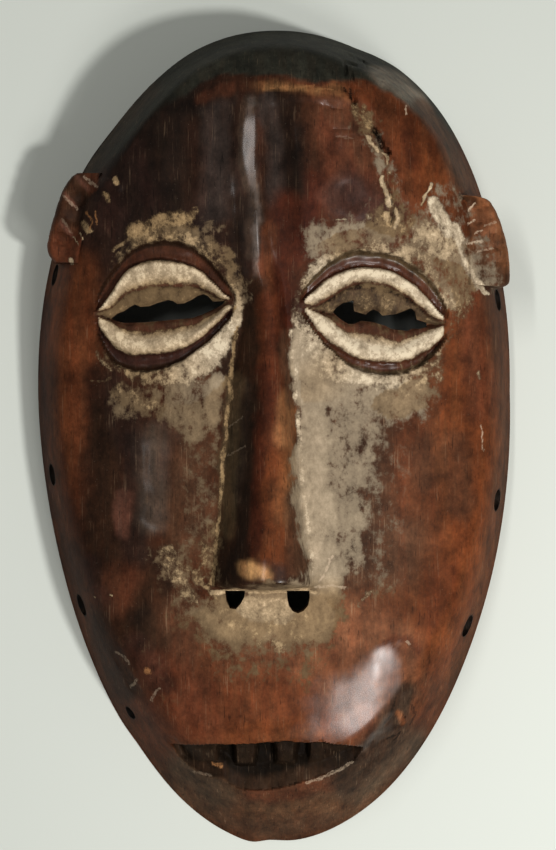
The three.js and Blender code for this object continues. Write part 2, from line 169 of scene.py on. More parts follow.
@dataclass(frozen=True)
class AdzeMarks:
    """Shallow cuts of the adze, each one a dish with low ridges between."""

    across: float
    up: float
    depth: float
    seed: int

    def dip(self, x: Values, y: Values) -> Values:
        """Find how deep the dishes are.

        Args:
            x, y: places across and up.

        Returns:
            Depth below the ridges.
        """
        side = 64
        jitter = np.random.default_rng(self.seed).uniform(0, 1, (side, side, 2))
        u, v = x / self.across, y / self.up
        i, j = np.floor(u).astype(int), np.floor(v).astype(int)
        softest = np.zeros(np.shape(x))
        for di in (-1, 0, 1):
            for dj in (-1, 0, 1):
                spot = jitter[(i + di) % side, (j + dj) % side]
                gap = (u - i - di - spot[..., 0]) ** 2 + (v - j - dj - spot[..., 1]) ** 2
                softest += np.exp(-7 * gap)
        return self.depth * (1 + np.log(np.clip(softest, 1e-6, None)) / 7)


@dataclass(frozen=True)
class MaskForm:
    """The plain egg-shaped shell, before anything is carved into it."""

    length: float = 280.0
    width: float = 162.4
    waist_y: float = 15.0
    crown_power: float = 2.15
    chin_power: float = 1.93
    outline_trim: Rows = (
        (0, 0.3), (12, 0.7), (24, 0.9), (36, 2), (48, 2.8), (60, 2.3), (66, 1.2), (72, 0.1), (90, 0.1),
        (108, -1), (120, -2.4), (132, -2.7), (144, -0.6), (156, 0), (168, 0.4), (180, 0.3), (192, -0.4),
        (204, -1), (216, -1.2), (228, -1.3), (234, -1.9), (246, -0.7), (258, 0.5), (264, 1), (269, -0.4),
        (276, 0.4), (288, 1.3), (300, 2.4), (312, 2.7), (324, 2.3), (336, 2), (348, 1.25), (360, 0.3),
    )
    middle_line: Rows = (
        (-150, 9), (-135, 19), (-120, 29), (-105, 37), (-85, 40.5), (-60, 41.5), (-30, 41.5), (10, 42),
        (35, 44), (55, 48), (75, 51.5), (95, 51), (112, 47.5), (126, 40), (134, 32), (140, 24),
    )
    cheek_drop: float = 22.0
    forehead_drop: float = 36.0
    chin_drop: float = 30.0
    drop_power: float = 2.4
    flank_rise_side: float = 270.0
    flank_rise_crown: float = 440.0
    flank_rise_chin: float = 205.0
    shoulder_round: float = 12.0
    crown_round: float = 4.0
    rim_width: float = 9.0
    chin_block: float = 17.0
    wall: float = 11.0
    mouth_wall: float = 20.0
    hollow_rise: float = 190.0
    eye_scoop: float = 4.5
    eye_scoop_radius: float = 24.0
    eye_middles: Path = ((-36.2, 42.9), (32.9, 39.9))

    @property
    def crown_reach(self) -> float:
        """Give the distance from the waist to the crown."""
        return self.length / 2 - self.waist_y

    @property
    def chin_reach(self) -> float:
        """Give the distance from the waist to the chin."""
        return self.length / 2 + self.waist_y

    def trim_share(self, angle: Values, across: Values, up: Values) -> Values:
        """Find how much further out than its superellipse's point the outline lies, as a share."""
        return 1 + along(self.outline_trim, np.degrees(angle) % 360) / np.hypot(across, up)

    def outline_point(
        self, angle: Values, share: Values, side: float = 0, crown: float = 0, chin: float = 0
    ) -> tuple[Values, Values]:
        """Find points in plan on the outline, or on one drawn in and scaled about the waist.

        Args:
            angle: superellipse angle in radians.
            share: scale about the waist's middle.
            side: how far the sides are drawn in.
            crown: how far the crown is drawn in.
            chin: how far the chin is drawn in.

        Returns:
            Places across and up.
        """
        c, s = np.cos(angle), np.sin(angle)
        power = np.where(s >= 0, 2 / self.crown_power, 2 / self.chin_power)
        reach = np.where(s >= 0, self.crown_reach - crown, self.chin_reach - chin)
        across = (self.width / 2 - side) * np.sign(c) * np.abs(c) ** power
        up = reach * np.sign(s) * np.abs(s) ** power
        scale = share * self.trim_share(angle, across, up)
        return scale * across, self.waist_y + scale * up

    def outward_share(self, x: Values, y: Values) -> Values:
        """Find how far out points lie in plan.

        Args:
            x, y: places across and up.

        Returns:
            0 at the waist's middle, 1 on the outline.
        """
        up_side = y >= self.waist_y
        power = np.where(up_side, self.crown_power, self.chin_power)
        reach = np.where(up_side, self.crown_reach, self.chin_reach)
        across, up = np.abs(x) / (self.width / 2), np.abs(y - self.waist_y) / reach
        share = np.maximum((across**power + up**power) ** (1 / power), 1e-6)
        angle = np.arctan2(
            np.sign(y - self.waist_y) * up ** (power / 2), np.sign(x) * across ** (power / 2)
        )
        return share / self.trim_share(angle, x / share, (y - self.waist_y) / share)

    def front(self, x: Values, y: Values) -> Values:
        """Find the height of the gentle front, before it meets the flank.

        Args:
            x, y: places across and up.

        Returns:
            Heights.
        """
        forehead, chin = smoothstep(35, 90, y), smoothstep(60, 110, -y)
        drop = self.cheek_drop + (self.forehead_drop - self.cheek_drop) * forehead
        drop = drop + (self.chin_drop - self.cheek_drop) * chin
        return along(self.middle_line, y) - drop * (np.abs(x) / (self.width / 2)) ** self.drop_power

    def outside(self, x: Values, y: Values) -> Values:
        """Find the height of the outside, flanks and all.

        Args:
            x, y: places across and up.

        Returns:
            Heights, 0 on the outline.
        """
        share = self.outward_share(x, y)
        reach = np.where(y >= self.waist_y, self.crown_reach, self.chin_reach)
        endwise = np.minimum(((y - self.waist_y) / reach) ** 2, 1)
        end_rise = np.where(y >= self.waist_y, self.flank_rise_crown, self.flank_rise_chin)
        rise = self.flank_rise_side + (end_rise - self.flank_rise_side) * endwise
        crown = smoothstep(70, 105, y)
        rounding = self.shoulder_round + (self.crown_round - self.shoulder_round) * crown
        return smooth_min(self.front(x, y), rise * (1 - share), rounding)

    def hollow(self, x: Values, y: Values, share: Values) -> Values:
        """Find the height of the hollow's roof.

        Args:
            x, y: places across and up.
            share: how far out they lie in the hollow, 1 at its edge.

        Returns:
            Heights.
        """
        wall = self.wall + (self.mouth_wall - self.wall) * smoothstep(72, 100, -y)
        roof = self.front(x, y) - wall
        for ex, ey in self.eye_middles:
            spread = ((x - ex) ** 2 + (y - ey) ** 2) / self.eye_scoop_radius**2
            roof = roof + self.eye_scoop * np.exp(-spread)
        return smooth_min(roof, self.hollow_rise * (1 - share), self.shoulder_round)

    def flank_x(self, side: int, y: float, z: float) -> float:
        """Find where the outside of the flank reaches a height.

        Args:
            side: -1 or 1.
            y: the place up.
            z: the height.

        Returns:
            The place across.
        """
        near, far = 0.0, self.width / 2 + 4
        for _ in range(24):
            middle = (near + far) / 2
            if float(self.outside(np.array(side * middle), np.array(y))) > z:
                near = middle
            else:
                far = middle
        return side * near


@dataclass(frozen=True)
class NoseCarving:
    """The raised band of the forehead that runs down into the long nose."""

    stations: Rows = (  # y, left foot, left of the back, right of the back, right foot, height
        (115, -9, -7, -5.6, -3.8, 0), (108, -10.6, -7.6, -5.6, -2, 1.8), (90, -11.6, -8.2, -6, -1.8, 2.6),
        (72, -12, -8.2, -5.4, -0.6, 2.8), (60, -11.4, -7, -3.2, 1.4, 3.3), (48, -10, -5, -0.6, 3.2, 4.8),
        (37.5, -10, -3.8, 1.2, 4.2, 6.8), (17, -14.3, -4.4, 2.6, 6, 10.6), (-4, -15.6, -5.4, 3.6, 7.6, 13.6),
        (-24, -17.4, -6.4, 5, 9.2, 16.2), (-38, -19.4, -8, 6.8, 11.2, 18.2), (-46, -20.2, -8.8, 8, 12.9, 19),
    )
    section: Rows = (  # place across (0 left foot, 1 and 2 edges of the back, 3 right foot), height
        (0, 0), (0.5, 0.47), (1, 0.88), (1.25, 0.975), (1.5, 1), (1.75, 0.965), (2, 0.86), (2.55, 0.45),
        (3, 0),
    )
    ridge_stations: Rows = (  # y, left foot, where it turns gentle, crest, right foot, height
        (116, -13, -10, -5.6, -3, 0), (109.5, -13.4, -9.8, -5.4, -2.6, 0.5),
        (106.5, -13.6, -9.6, -5.3, -2.2, 2.2), (98, -14, -10.6, -5.2, -1.6, 2.5),
        (88, -13.4, -10.2, -5.6, -2, 2.6), (80, -12.6, -8.4, -5.8, -2.2, 2.7),
        (70, -12.2, -7.8, -5.6, -1.6, 2.8), (58, -11.6, -7.2, -5.2, 0, 3.2), (48, -10.6, -6.2, -4, 2, 4),
    )
    ridge_section: Rows = (
        (0, 0), (0.4, 0.3), (1, 0.73), (1.5, 0.87), (1.9, 0.985), (2, 1), (2.3, 0.7), (3, 0),
    )
    tip_y: float = -47.0
    foot: Rows = (  # x, y of the nose's lower edge
        (-21, -49), (-13, -50.3), (-4, -51), (5, -50.6), (13, -49.2),
    )
    tip_round: float = 2.4

    def lift(self, x: Values, y: Values) -> Values:
        """Find how far the nose stands out of the face.

        Args:
            x, y: places across and up.

        Returns:
            Heights over the face.
        """
        nose, height = self.across(self.stations, self.section, x, np.maximum(y, self.tip_y))
        foot = along(self.foot, x)
        end = height * (y - foot) / (self.tip_y - foot)
        nose = np.clip(smooth_min(nose, end, self.tip_round), 0, None)
        ridge = self.across(self.ridge_stations, self.ridge_section, x, y)[0]
        return nose + (ridge - nose) * smoothstep(48, 62, y)

    @staticmethod
    def across(stations: Rows, section: Rows, x: Values, y: Values) -> tuple[Values, Values]:
        """Sweep a section along its stations.

        Args:
            stations: y, the four places across and the height.
            section: place across and share of the height.
            x, y: places across and up.

        Returns:
            Heights, and the greatest height at each y.
        """
        foot, left, right, far_foot, height = (along(stations, y, column) for column in range(1, 6))
        place = np.clip((x - foot) / (left - foot), 0, 1)
        place = place + np.clip((x - left) / (right - left), 0, 1)
        place = place + np.clip((x - right) / (far_foot - right), 0, 1)
        return height * along(section, place), height


@dataclass(frozen=True)
class Flute:
    """A shallow channel down the forehead."""

    rows: Rows  # y, x, half width, depth

    def dip(self, x: Values, y: Values) -> Values:
        """Find how deep the channel is at places across and up."""
        across = (x - along(self.rows, y, 1)) / along(self.rows, y, 2)
        return along(self.rows, y, 3) * np.clip(1 - across**2, 0, 1) ** 1.5 * 1.15


class Tone(Enum):
    """Colours of the old wood, from soot to where it's worn bright, and some that stand in for light: painted
    highlights, sheen and shade.
    """

    SOOT = (0.018, 0.01, 0.006)
    SOOT_BROWN = (0.034, 0.016, 0.008)
    DARK_PLUM = (0.03, 0.016, 0.011)
    PLUM = (0.055, 0.026, 0.019)
    PLUM_RED = (0.08, 0.024, 0.013)
    # Greyish plum, most of its grey a painted sheen.
    PLUM_GREY = (0.085, 0.058, 0.04)
    # Dark slate, partly a painted bluish sheen.
    SLATE = (0.046, 0.033, 0.027)
    # Worn grey wood with a painted highlight on it, down the ridge's left side.
    GREY_WORN = (0.17, 0.135, 0.115)
    OXBLOOD = (0.066, 0.018, 0.008)
    RED = (0.105, 0.032, 0.013)
    DARK_RED = (0.046, 0.019, 0.01)
    RED_BROWN = (0.115, 0.04, 0.019)
    RUSSET = (0.135, 0.046, 0.018)
    ORANGE_BROWN = (0.092, 0.03, 0.011)
    AMBER = (0.165, 0.054, 0.018)
    ORANGE = (0.26, 0.1, 0.04)
    HONEY_BROWN = (0.24, 0.115, 0.05)
    HONEY = (0.36, 0.2, 0.085)
    GOLD_WORN = (0.21, 0.105, 0.046)
    # A painted highlight: the shine on the nose's tip.
    BRIGHT = (0.56, 0.32, 0.14)
    EAR = (0.2, 0.086, 0.038)
    UMBER = (0.1, 0.049, 0.026)
    ROSE = (0.15, 0.068, 0.045)
    ROSE_BROWN = (0.22, 0.1, 0.05)
    CHIN = (0.105, 0.057, 0.031)
    GREY_BROWN = (0.105, 0.07, 0.043)
    ROUGH_BREAK = (0.066, 0.04, 0.025)
    # Dark cap, its grey-green cast partly a painted reflection.
    CAP = (0.034, 0.033, 0.024)
    CAP_BROWN = (0.05, 0.036, 0.025)
    # A painted highlight on the cap's right-hand edge.
    CAP_PALE = (0.31, 0.265, 0.21)
    FLANK = (0.076, 0.034, 0.016)
    GROOVE = (0.085, 0.033, 0.017)
    GROOVE_PLUM = (0.052, 0.022, 0.015)
    OLIVE = (0.085, 0.058, 0.03)
    LEDGE = (0.11, 0.072, 0.043)
    LID_INNER = (0.11, 0.048, 0.027)
    # Painted shadow inside the cord holes.
    HOLE = (0.006, 0.004, 0.003)
    # Painted shade in the mouth: its floor, its teeth under the lip and the deep gaps between them.
    MOUTH = (0.04, 0.022, 0.012)
    TOOTH = (0.026, 0.015, 0.008)
    GAP = (0.01, 0.006, 0.003)
    GROUND = (0.085, 0.031, 0.013)
    INSIDE = (0.1, 0.065, 0.038)


@dataclass
class Coat:
    """What lies on each vertex: the wood's colour with the painted light and shade in it, clay and how clean
    it is, rubbed clay, polish.
    """

    colour: Values  # one row a vertex
    crust: Values
    clean: Values
    wash: Values
    polish: Values
    dry: Values
    faced: Values  # 0 in the hollow

    def lay(self, tone: Tone, share: Values) -> None:
        """Blend a share of a tone over the wood's colour."""
        self.colour = self.colour + (np.array(tone.value) - self.colour) * share[:, None]

    def store(self, piece: Piece) -> None:
        """Store every layer on the vertices, for the finish to read.

        Args:
            piece: the object.
        """
        attributes = piece.data.attributes
        tone = np.column_stack((self.colour, np.ones(len(self.colour)))).astype(np.float32).ravel()
        attributes.new("tone", "FLOAT_COLOR", "POINT").data.foreach_set("color", tone)
        for name in ("crust", "clean", "wash", "polish", "dry", "faced"):
            values = getattr(self, name).astype(np.float32)
            attributes.new(name, "FLOAT", "POINT").data.foreach_set("value", values)


@dataclass(frozen=True)
class EyeCarving:
    """A socket with two raised almond lids and a slit chipped through between them."""

    name: str
    lines: Rows  # x; from below: socket, lid's foot, its inner edge, slit, slit, inner edge, foot, socket
    slit: Path
    clean: float  # how white the clay on the lids still is
    ledge_clay: float  # how much lies on the ledge over the slit
    middle: tuple[float, float]
    half: tuple[float, float]
    tilt: float
    ring: Rows  # clay round the socket: angle in degrees, amount, cleanness, how far out it reaches
    # Among the bands, the thin soot one just under the upper lid's inner edge is painted shade in its
    # undercut.
    bands: tuple[tuple[float, float, Tone], ...]  # colours between two places among the lines
    profile: Rows = (  # place among the lines, depth below the face
        (0, 0), (0.12, 0.9), (0.3, 2.2), (0.55, 2.9), (0.75, 2.8), (0.93, 3.0), (1, 2.7), (1.13, 1.5),
        (1.3, 0.6), (1.5, 0.35), (1.7, 0.6), (1.95, 1.5), (2.2, 2.5), (2.6, 3.3), (2.85, 3.9), (3, 5),
        (3.5, 6), (4, 5.2), (4.15, 4.3), (4.7, 3.7), (4.9, 3.4), (5, 2.6), (5.2, 1.6), (5.4, 0.9),
        (5.6, 0.45), (5.8, 0.45), (5.9, 0.9), (6.0, 2.2), (6.08, 2.9), (6.25, 2.7), (6.45, 2.8), (6.65, 2.7),
        (6.85, 1.6), (7, 0),
    )
    # The last column also paints the lids lighter on their crests and darker down their inner slopes, as
    # painted light and shade besides the dirt there.
    lid_clay: Rows = (  # place among the lines, amount of clay, how much cleaner or dirtier it is
        (0.95, 0, -0.3), (1.1, 0.5, -0.1), (1.28, 0.8, 0.05), (1.85, 0.84, 0.1), (2.15, 0.72, -0.05),
        (2.4, 0.5, -0.25), (2.6, 0.12, -0.5), (2.8, 0.06, -0.5), (3.9, 0.14, -0.5), (4.1, 0.4, -0.35),
        (4.55, 0.42, -0.35), (4.75, 0.2, -0.4), (5.0, 0.2, -0.4), (5.12, 0.5, -0.2), (5.3, 0.76, 0.0),
        (5.5, 0.84, 0.1), (5.85, 0.84, 0.1), (5.96, 0.5, -0.1), (6.04, 0, -0.3),
    )
    band_softness: float = 0.06
    groove_clay: float = 0.4  # how much of the rubbed clay is left in the grooves
    groove_polish: float = 0.2
    slope_clay: float = 0.3  # how much lies between the lids
    crest: float = 0.4
    waver: float = 0.45
    lumps: float = 0.3
    cutter_low: float = 3.0
    cutter_high: float = 72.0

    def place(self, x: Values, y: Values) -> Values:
        """Tell between which carving lines points lie.

        Args:
            x, y: places across and up.

        Returns:
            0 below the socket, a whole number on each line, 7 above the socket.
        """
        noise = SoftNoise(41)
        lines = [along(self.lines, x, column) for column in range(1, 9)]
        wavering = y + self.waver * noise.at(x, y, 4.5, 3)
        total = np.zeros(np.shape(x))
        for low, high in zip(lines, lines[1:]):
            total += np.clip((wavering - low) / np.maximum(high - low, 0.2), 0, 1)
        return total

    def ring_clay(self, x: Values, y: Values) -> tuple[Values, Values]:
        """Find the clay left on the face round the socket.

        Args:
            x, y: places across and up.

        Returns:
            Amounts and cleanness.
        """
        turn = math.radians(self.tilt)
        dx, dy = x - self.middle[0], y - self.middle[1]
        u = (dx * math.cos(turn) + dy * math.sin(turn)) / self.half[0]
        v = (dy * math.cos(turn) - dx * math.sin(turn)) / self.half[1]
        out = (np.hypot(u, v) - 1) * sum(self.half) / 2 + 0.9 * SoftNoise(45).at(x, y, 5.5, 3)
        angle = np.degrees(np.arctan2(v, u)) % 360
        amount, clean, reach = (along(self.ring, angle, column) for column in (1, 2, 3))
        place = self.place(x, y)
        outside = 1 - self.reach(x) * smoothstep(0.1, 0.45, place) * smoothstep(6.9, 6.55, place)
        return amount * outside * smoothstep(1.8, 0.2, out / np.maximum(reach, 0.3)), clean

    def reach(self, x: Values) -> Values:
        """Fade the carving out from 1 in the middle to 0 at the two corners of the socket."""
        start, end = self.lines[0][0], self.lines[-1][0]
        return smoothstep(start - 0.4, start + 3.2, x) * smoothstep(-end - 0.4, -end + 3.2, -x)

    def depth(self, x: Values, y: Values) -> Values:
        """Find how deep the eye is carved.

        Args:
            x, y: places across and up.

        Returns:
            Depths below the face.
        """
        place = self.place(x, y)
        bottom, low_foot, low_edge, high_edge, high_foot, top = (
            along(self.lines, x, column) for column in (1, 2, 3, 6, 7, 8)
        )
        room = np.where(
            place < 1.5,
            np.clip((low_foot - bottom) / 2.6, 0, 1),
            np.where(
                place > 5.7, np.clip((top - high_foot) / 2.6, 0, 1), np.clip((high_edge - low_edge) / 5, 0, 1)
            ),
        )
        depth = along(self.profile, place) + self.lumps * SoftNoise(43).at(x, y, 3.4, 2)
        level = np.minimum(depth, self.crest)
        inside = smoothstep(0, 0.3, place) * smoothstep(7, 6.7, place)
        return (level + (depth - level) * room) * self.reach(x) * inside

    def paint(self, coat: Coat, x: Values, y: Values) -> None:
        """Colour the grooves, the lids and the ledge between them.

        Args:
            coat: what lies on the mask, changed in place.
            x, y: places across and up.
        """
        place = self.place(x, y)
        carved = self.reach(x) * smoothstep(0, 0.1, place) * smoothstep(7, 6.9, place)
        soft = self.band_softness
        for low, high, tone in self.bands:
            band = smoothstep(low - soft, low + soft, place) * smoothstep(high + soft, high - soft, place)
            coat.lay(tone, carved * band)
        groove = carved * np.maximum(
            smoothstep(0.15, 0.4, place) * smoothstep(1.25, 1.0, place),
            smoothstep(5.9, 6.05, place) * smoothstep(6.85, 6.6, place),
        )
        between = carved * smoothstep(2.0, 2.6, place) * smoothstep(5.2, 4.9, place)
        ledge = between * smoothstep(3.3, 3.7, place)
        clay_left = np.maximum(self.slope_clay * between, self.ledge_clay * ledge)
        coat.wash = np.maximum(coat.wash * (1 - (1 - self.groove_clay) * groove), clay_left)
        coat.polish = np.maximum(coat.polish * (1 - groove), groove * self.groove_polish)


@dataclass(frozen=True)
class MouthCarving:
    """The blind mouth with its row of worn teeth under the upper lip."""

    upper_lip: Rows = (
        (-34.1, -103.3), (-28.6, -102.4), (-18.2, -101.5), (-6.6, -101.4), (0.7, -100.6), (8, -100.8),
        (17.1, -101.2), (26.3, -102.4), (29.3, -102.9),
    )
    lower_lip: Rows = (
        (-34.1, -103.9), (-31.8, -107.6), (-28.8, -110.7), (-22.6, -113.7), (-16.5, -114.3), (-14.7, -116.2),
        (-11, -118), (-4.2, -118.3), (1.9, -117.4), (8, -115.5), (14.2, -113.7), (20.3, -111.3),
        (26.4, -108.2), (29.3, -103.5),
    )
    teeth: Rows = (  # left, right, how long, depth of the front
        (-31, -18.3, 7, 3.4), (-13.3, -5.7, 8, 4.4), (-0.1, 7.7, 8.6, 4.4), (11.1, 26.4, 8.4, 5.2),
    )
    depth_most: float = 9.5
    lip_depth: float = 0.9
    floor_slope: float = 0.95
    lip_slope: float = 9.0
    tooth_edge: float = 1.0
    waver: float = 0.5
    chips: float = 0.45

    def tooth_share(self, x: Values, y: Values, tooth: tuple[float, ...]) -> Values:
        """Tell whether points lie on a tooth.

        Args:
            x, y: places across and up.
            tooth: one row of the teeth.

        Returns:
            1 on the tooth, 0 beside it.
        """
        left, right, length, _ = tooth
        below = along(self.upper_lip, x) - y
        taper = 0.09 * np.clip(below, 0, length)
        inwards = np.minimum(np.minimum(x - left - taper, right - taper - x), length - below)
        return smoothstep(-self.tooth_edge, self.tooth_edge, inwards)

    def depth(self, x: Values, y: Values) -> Values:
        """Find how deep the mouth is carved.

        Args:
            x, y: places across and up.

        Returns:
            Depths below the face.
        """
        noise = SoftNoise(51)
        x = x + self.waver * noise.at(x, y, 5, 3)
        y = y + self.waver * 0.7 * noise.at(y, x, 4, 3)
        below = along(self.upper_lip, x) - y
        above = y - along(self.lower_lip, x)
        floor = np.minimum(self.depth_most, self.lip_depth + self.floor_slope * above)
        floor = floor + self.chips * noise.at(x, y, 3.5, 3)
        depth = np.minimum(floor, self.lip_slope * below)
        for tooth in self.teeth:
            front = np.minimum(tooth[3] + 0.1 * below + self.chips * noise.at(y, x, 3, 3), depth)
            depth = depth + (front - depth) * self.tooth_share(x, y, tooth)
        ends = np.minimum(x - self.upper_lip[0][0], self.upper_lip[-1][0] - x)
        open_here = (below > 0) & (above > 0) & (ends > 0)
        return np.where(open_here, np.clip(np.minimum(depth, 3 * ends + 3 * above), 0, None), 0)

    def paint(self, coat: Coat, x: Values, y: Values, depth: Values) -> None:
        """Paint shade into the mouth: over its floor, darkest in the deep gaps, and on the teeth under the
        lip.

        Args:
            coat: what lies on the mask, changed in place.
            x, y: places across and up.
            depth: how deep the mouth is there.
        """
        # Painted shade: darker where the mouth is cut deeper.
        opened = smoothstep(0.3, 1.5, depth)
        coat.lay(Tone.MOUTH, opened)
        coat.lay(Tone.GAP, smoothstep(4.0, 7.0, depth))
        for tooth in self.teeth:
            coat.lay(Tone.TOOTH, opened * self.tooth_share(x, y, tooth))
        coat.polish *= 1 - opened
        coat.wash *= 1 - opened


@dataclass(frozen=True)
class Nick:
    """A crack, pit or scar: a line of points sunk into the wood."""

    path: Path
    radius: float
    depth: float
    rough: float = 0.0

    def dip(self, x: Values, y: Values, noise: SoftNoise) -> Values:
        """Find how deep it is.

        Args:
            x, y: places across and up.
            noise: unevenness of its edge and floor.

        Returns:
            Depths.
        """
        edge = path_distance(self.path, x, y) + self.radius * 0.35 * noise.at(x, y, self.radius * 1.5, 2)
        share = 1 - smoothstep(self.radius * 0.45, self.radius, edge)
        return share * (self.depth + self.rough * noise.at(x, y, 2.2, 3))


@dataclass(frozen=True)
class Daub:
    """A soft-edged mark along a line of points, of colour, clay or polish."""

    path: Path
    radius: float
    amount: float
    tone: Tone = Tone.GROUND
    clean: float = 0.5
    fade: float = 0.8

    def share(self, x: Values, y: Values) -> Values:
        """Find how strong the mark is.

        Args:
            x, y: places across and up.

        Returns:
            The amount in the middle, falling to 0 outside.
        """
        out = path_distance(self.path, x, y)
        spread = self.radius * self.fade
        return self.amount * (1 - smoothstep(self.radius - spread * 0.5, self.radius + spread, out))


def path_of(numbers: list[float]) -> Path:
    """Pair up the numbers at the end of a row into the points of a path."""
    return tuple(zip(numbers[::2], numbers[1::2]))


def sunk(*rows: tuple[float, ...]) -> tuple[Nick, ...]:
    """Make nicks from rows of radius, depth, roughness and points."""
    return tuple(Nick(path_of(numbers), radius, depth, rough) for radius, depth, rough, *numbers in rows)


def colour_daubs(*rows: tuple[Tone | float, ...]) -> tuple[Daub, ...]:
    """Make daubs of wood colour, painted light and shade among them, from rows of tone, radius, amount and
    points.
    """
    return tuple(Daub(path_of(numbers), radius, amount, tone) for tone, radius, amount, *numbers in rows)


def clay(*rows: tuple[float, ...]) -> tuple[Daub, ...]:
    """Make daubs of clay from rows of radius, amount, cleanness and points."""
    return tuple(
        Daub(path_of(numbers), radius, amount, clean=clean, fade=1.0)
        for radius, amount, clean, *numbers in rows
    )


def rubs(*rows: tuple[float, ...]) -> tuple[Daub, ...]:
    """Make daubs of thin clay, polish or dryness from rows of radius, amount and points."""
    return tuple(Daub(path_of(numbers), radius, amount, fade=1.0) for radius, amount, *numbers in rows)


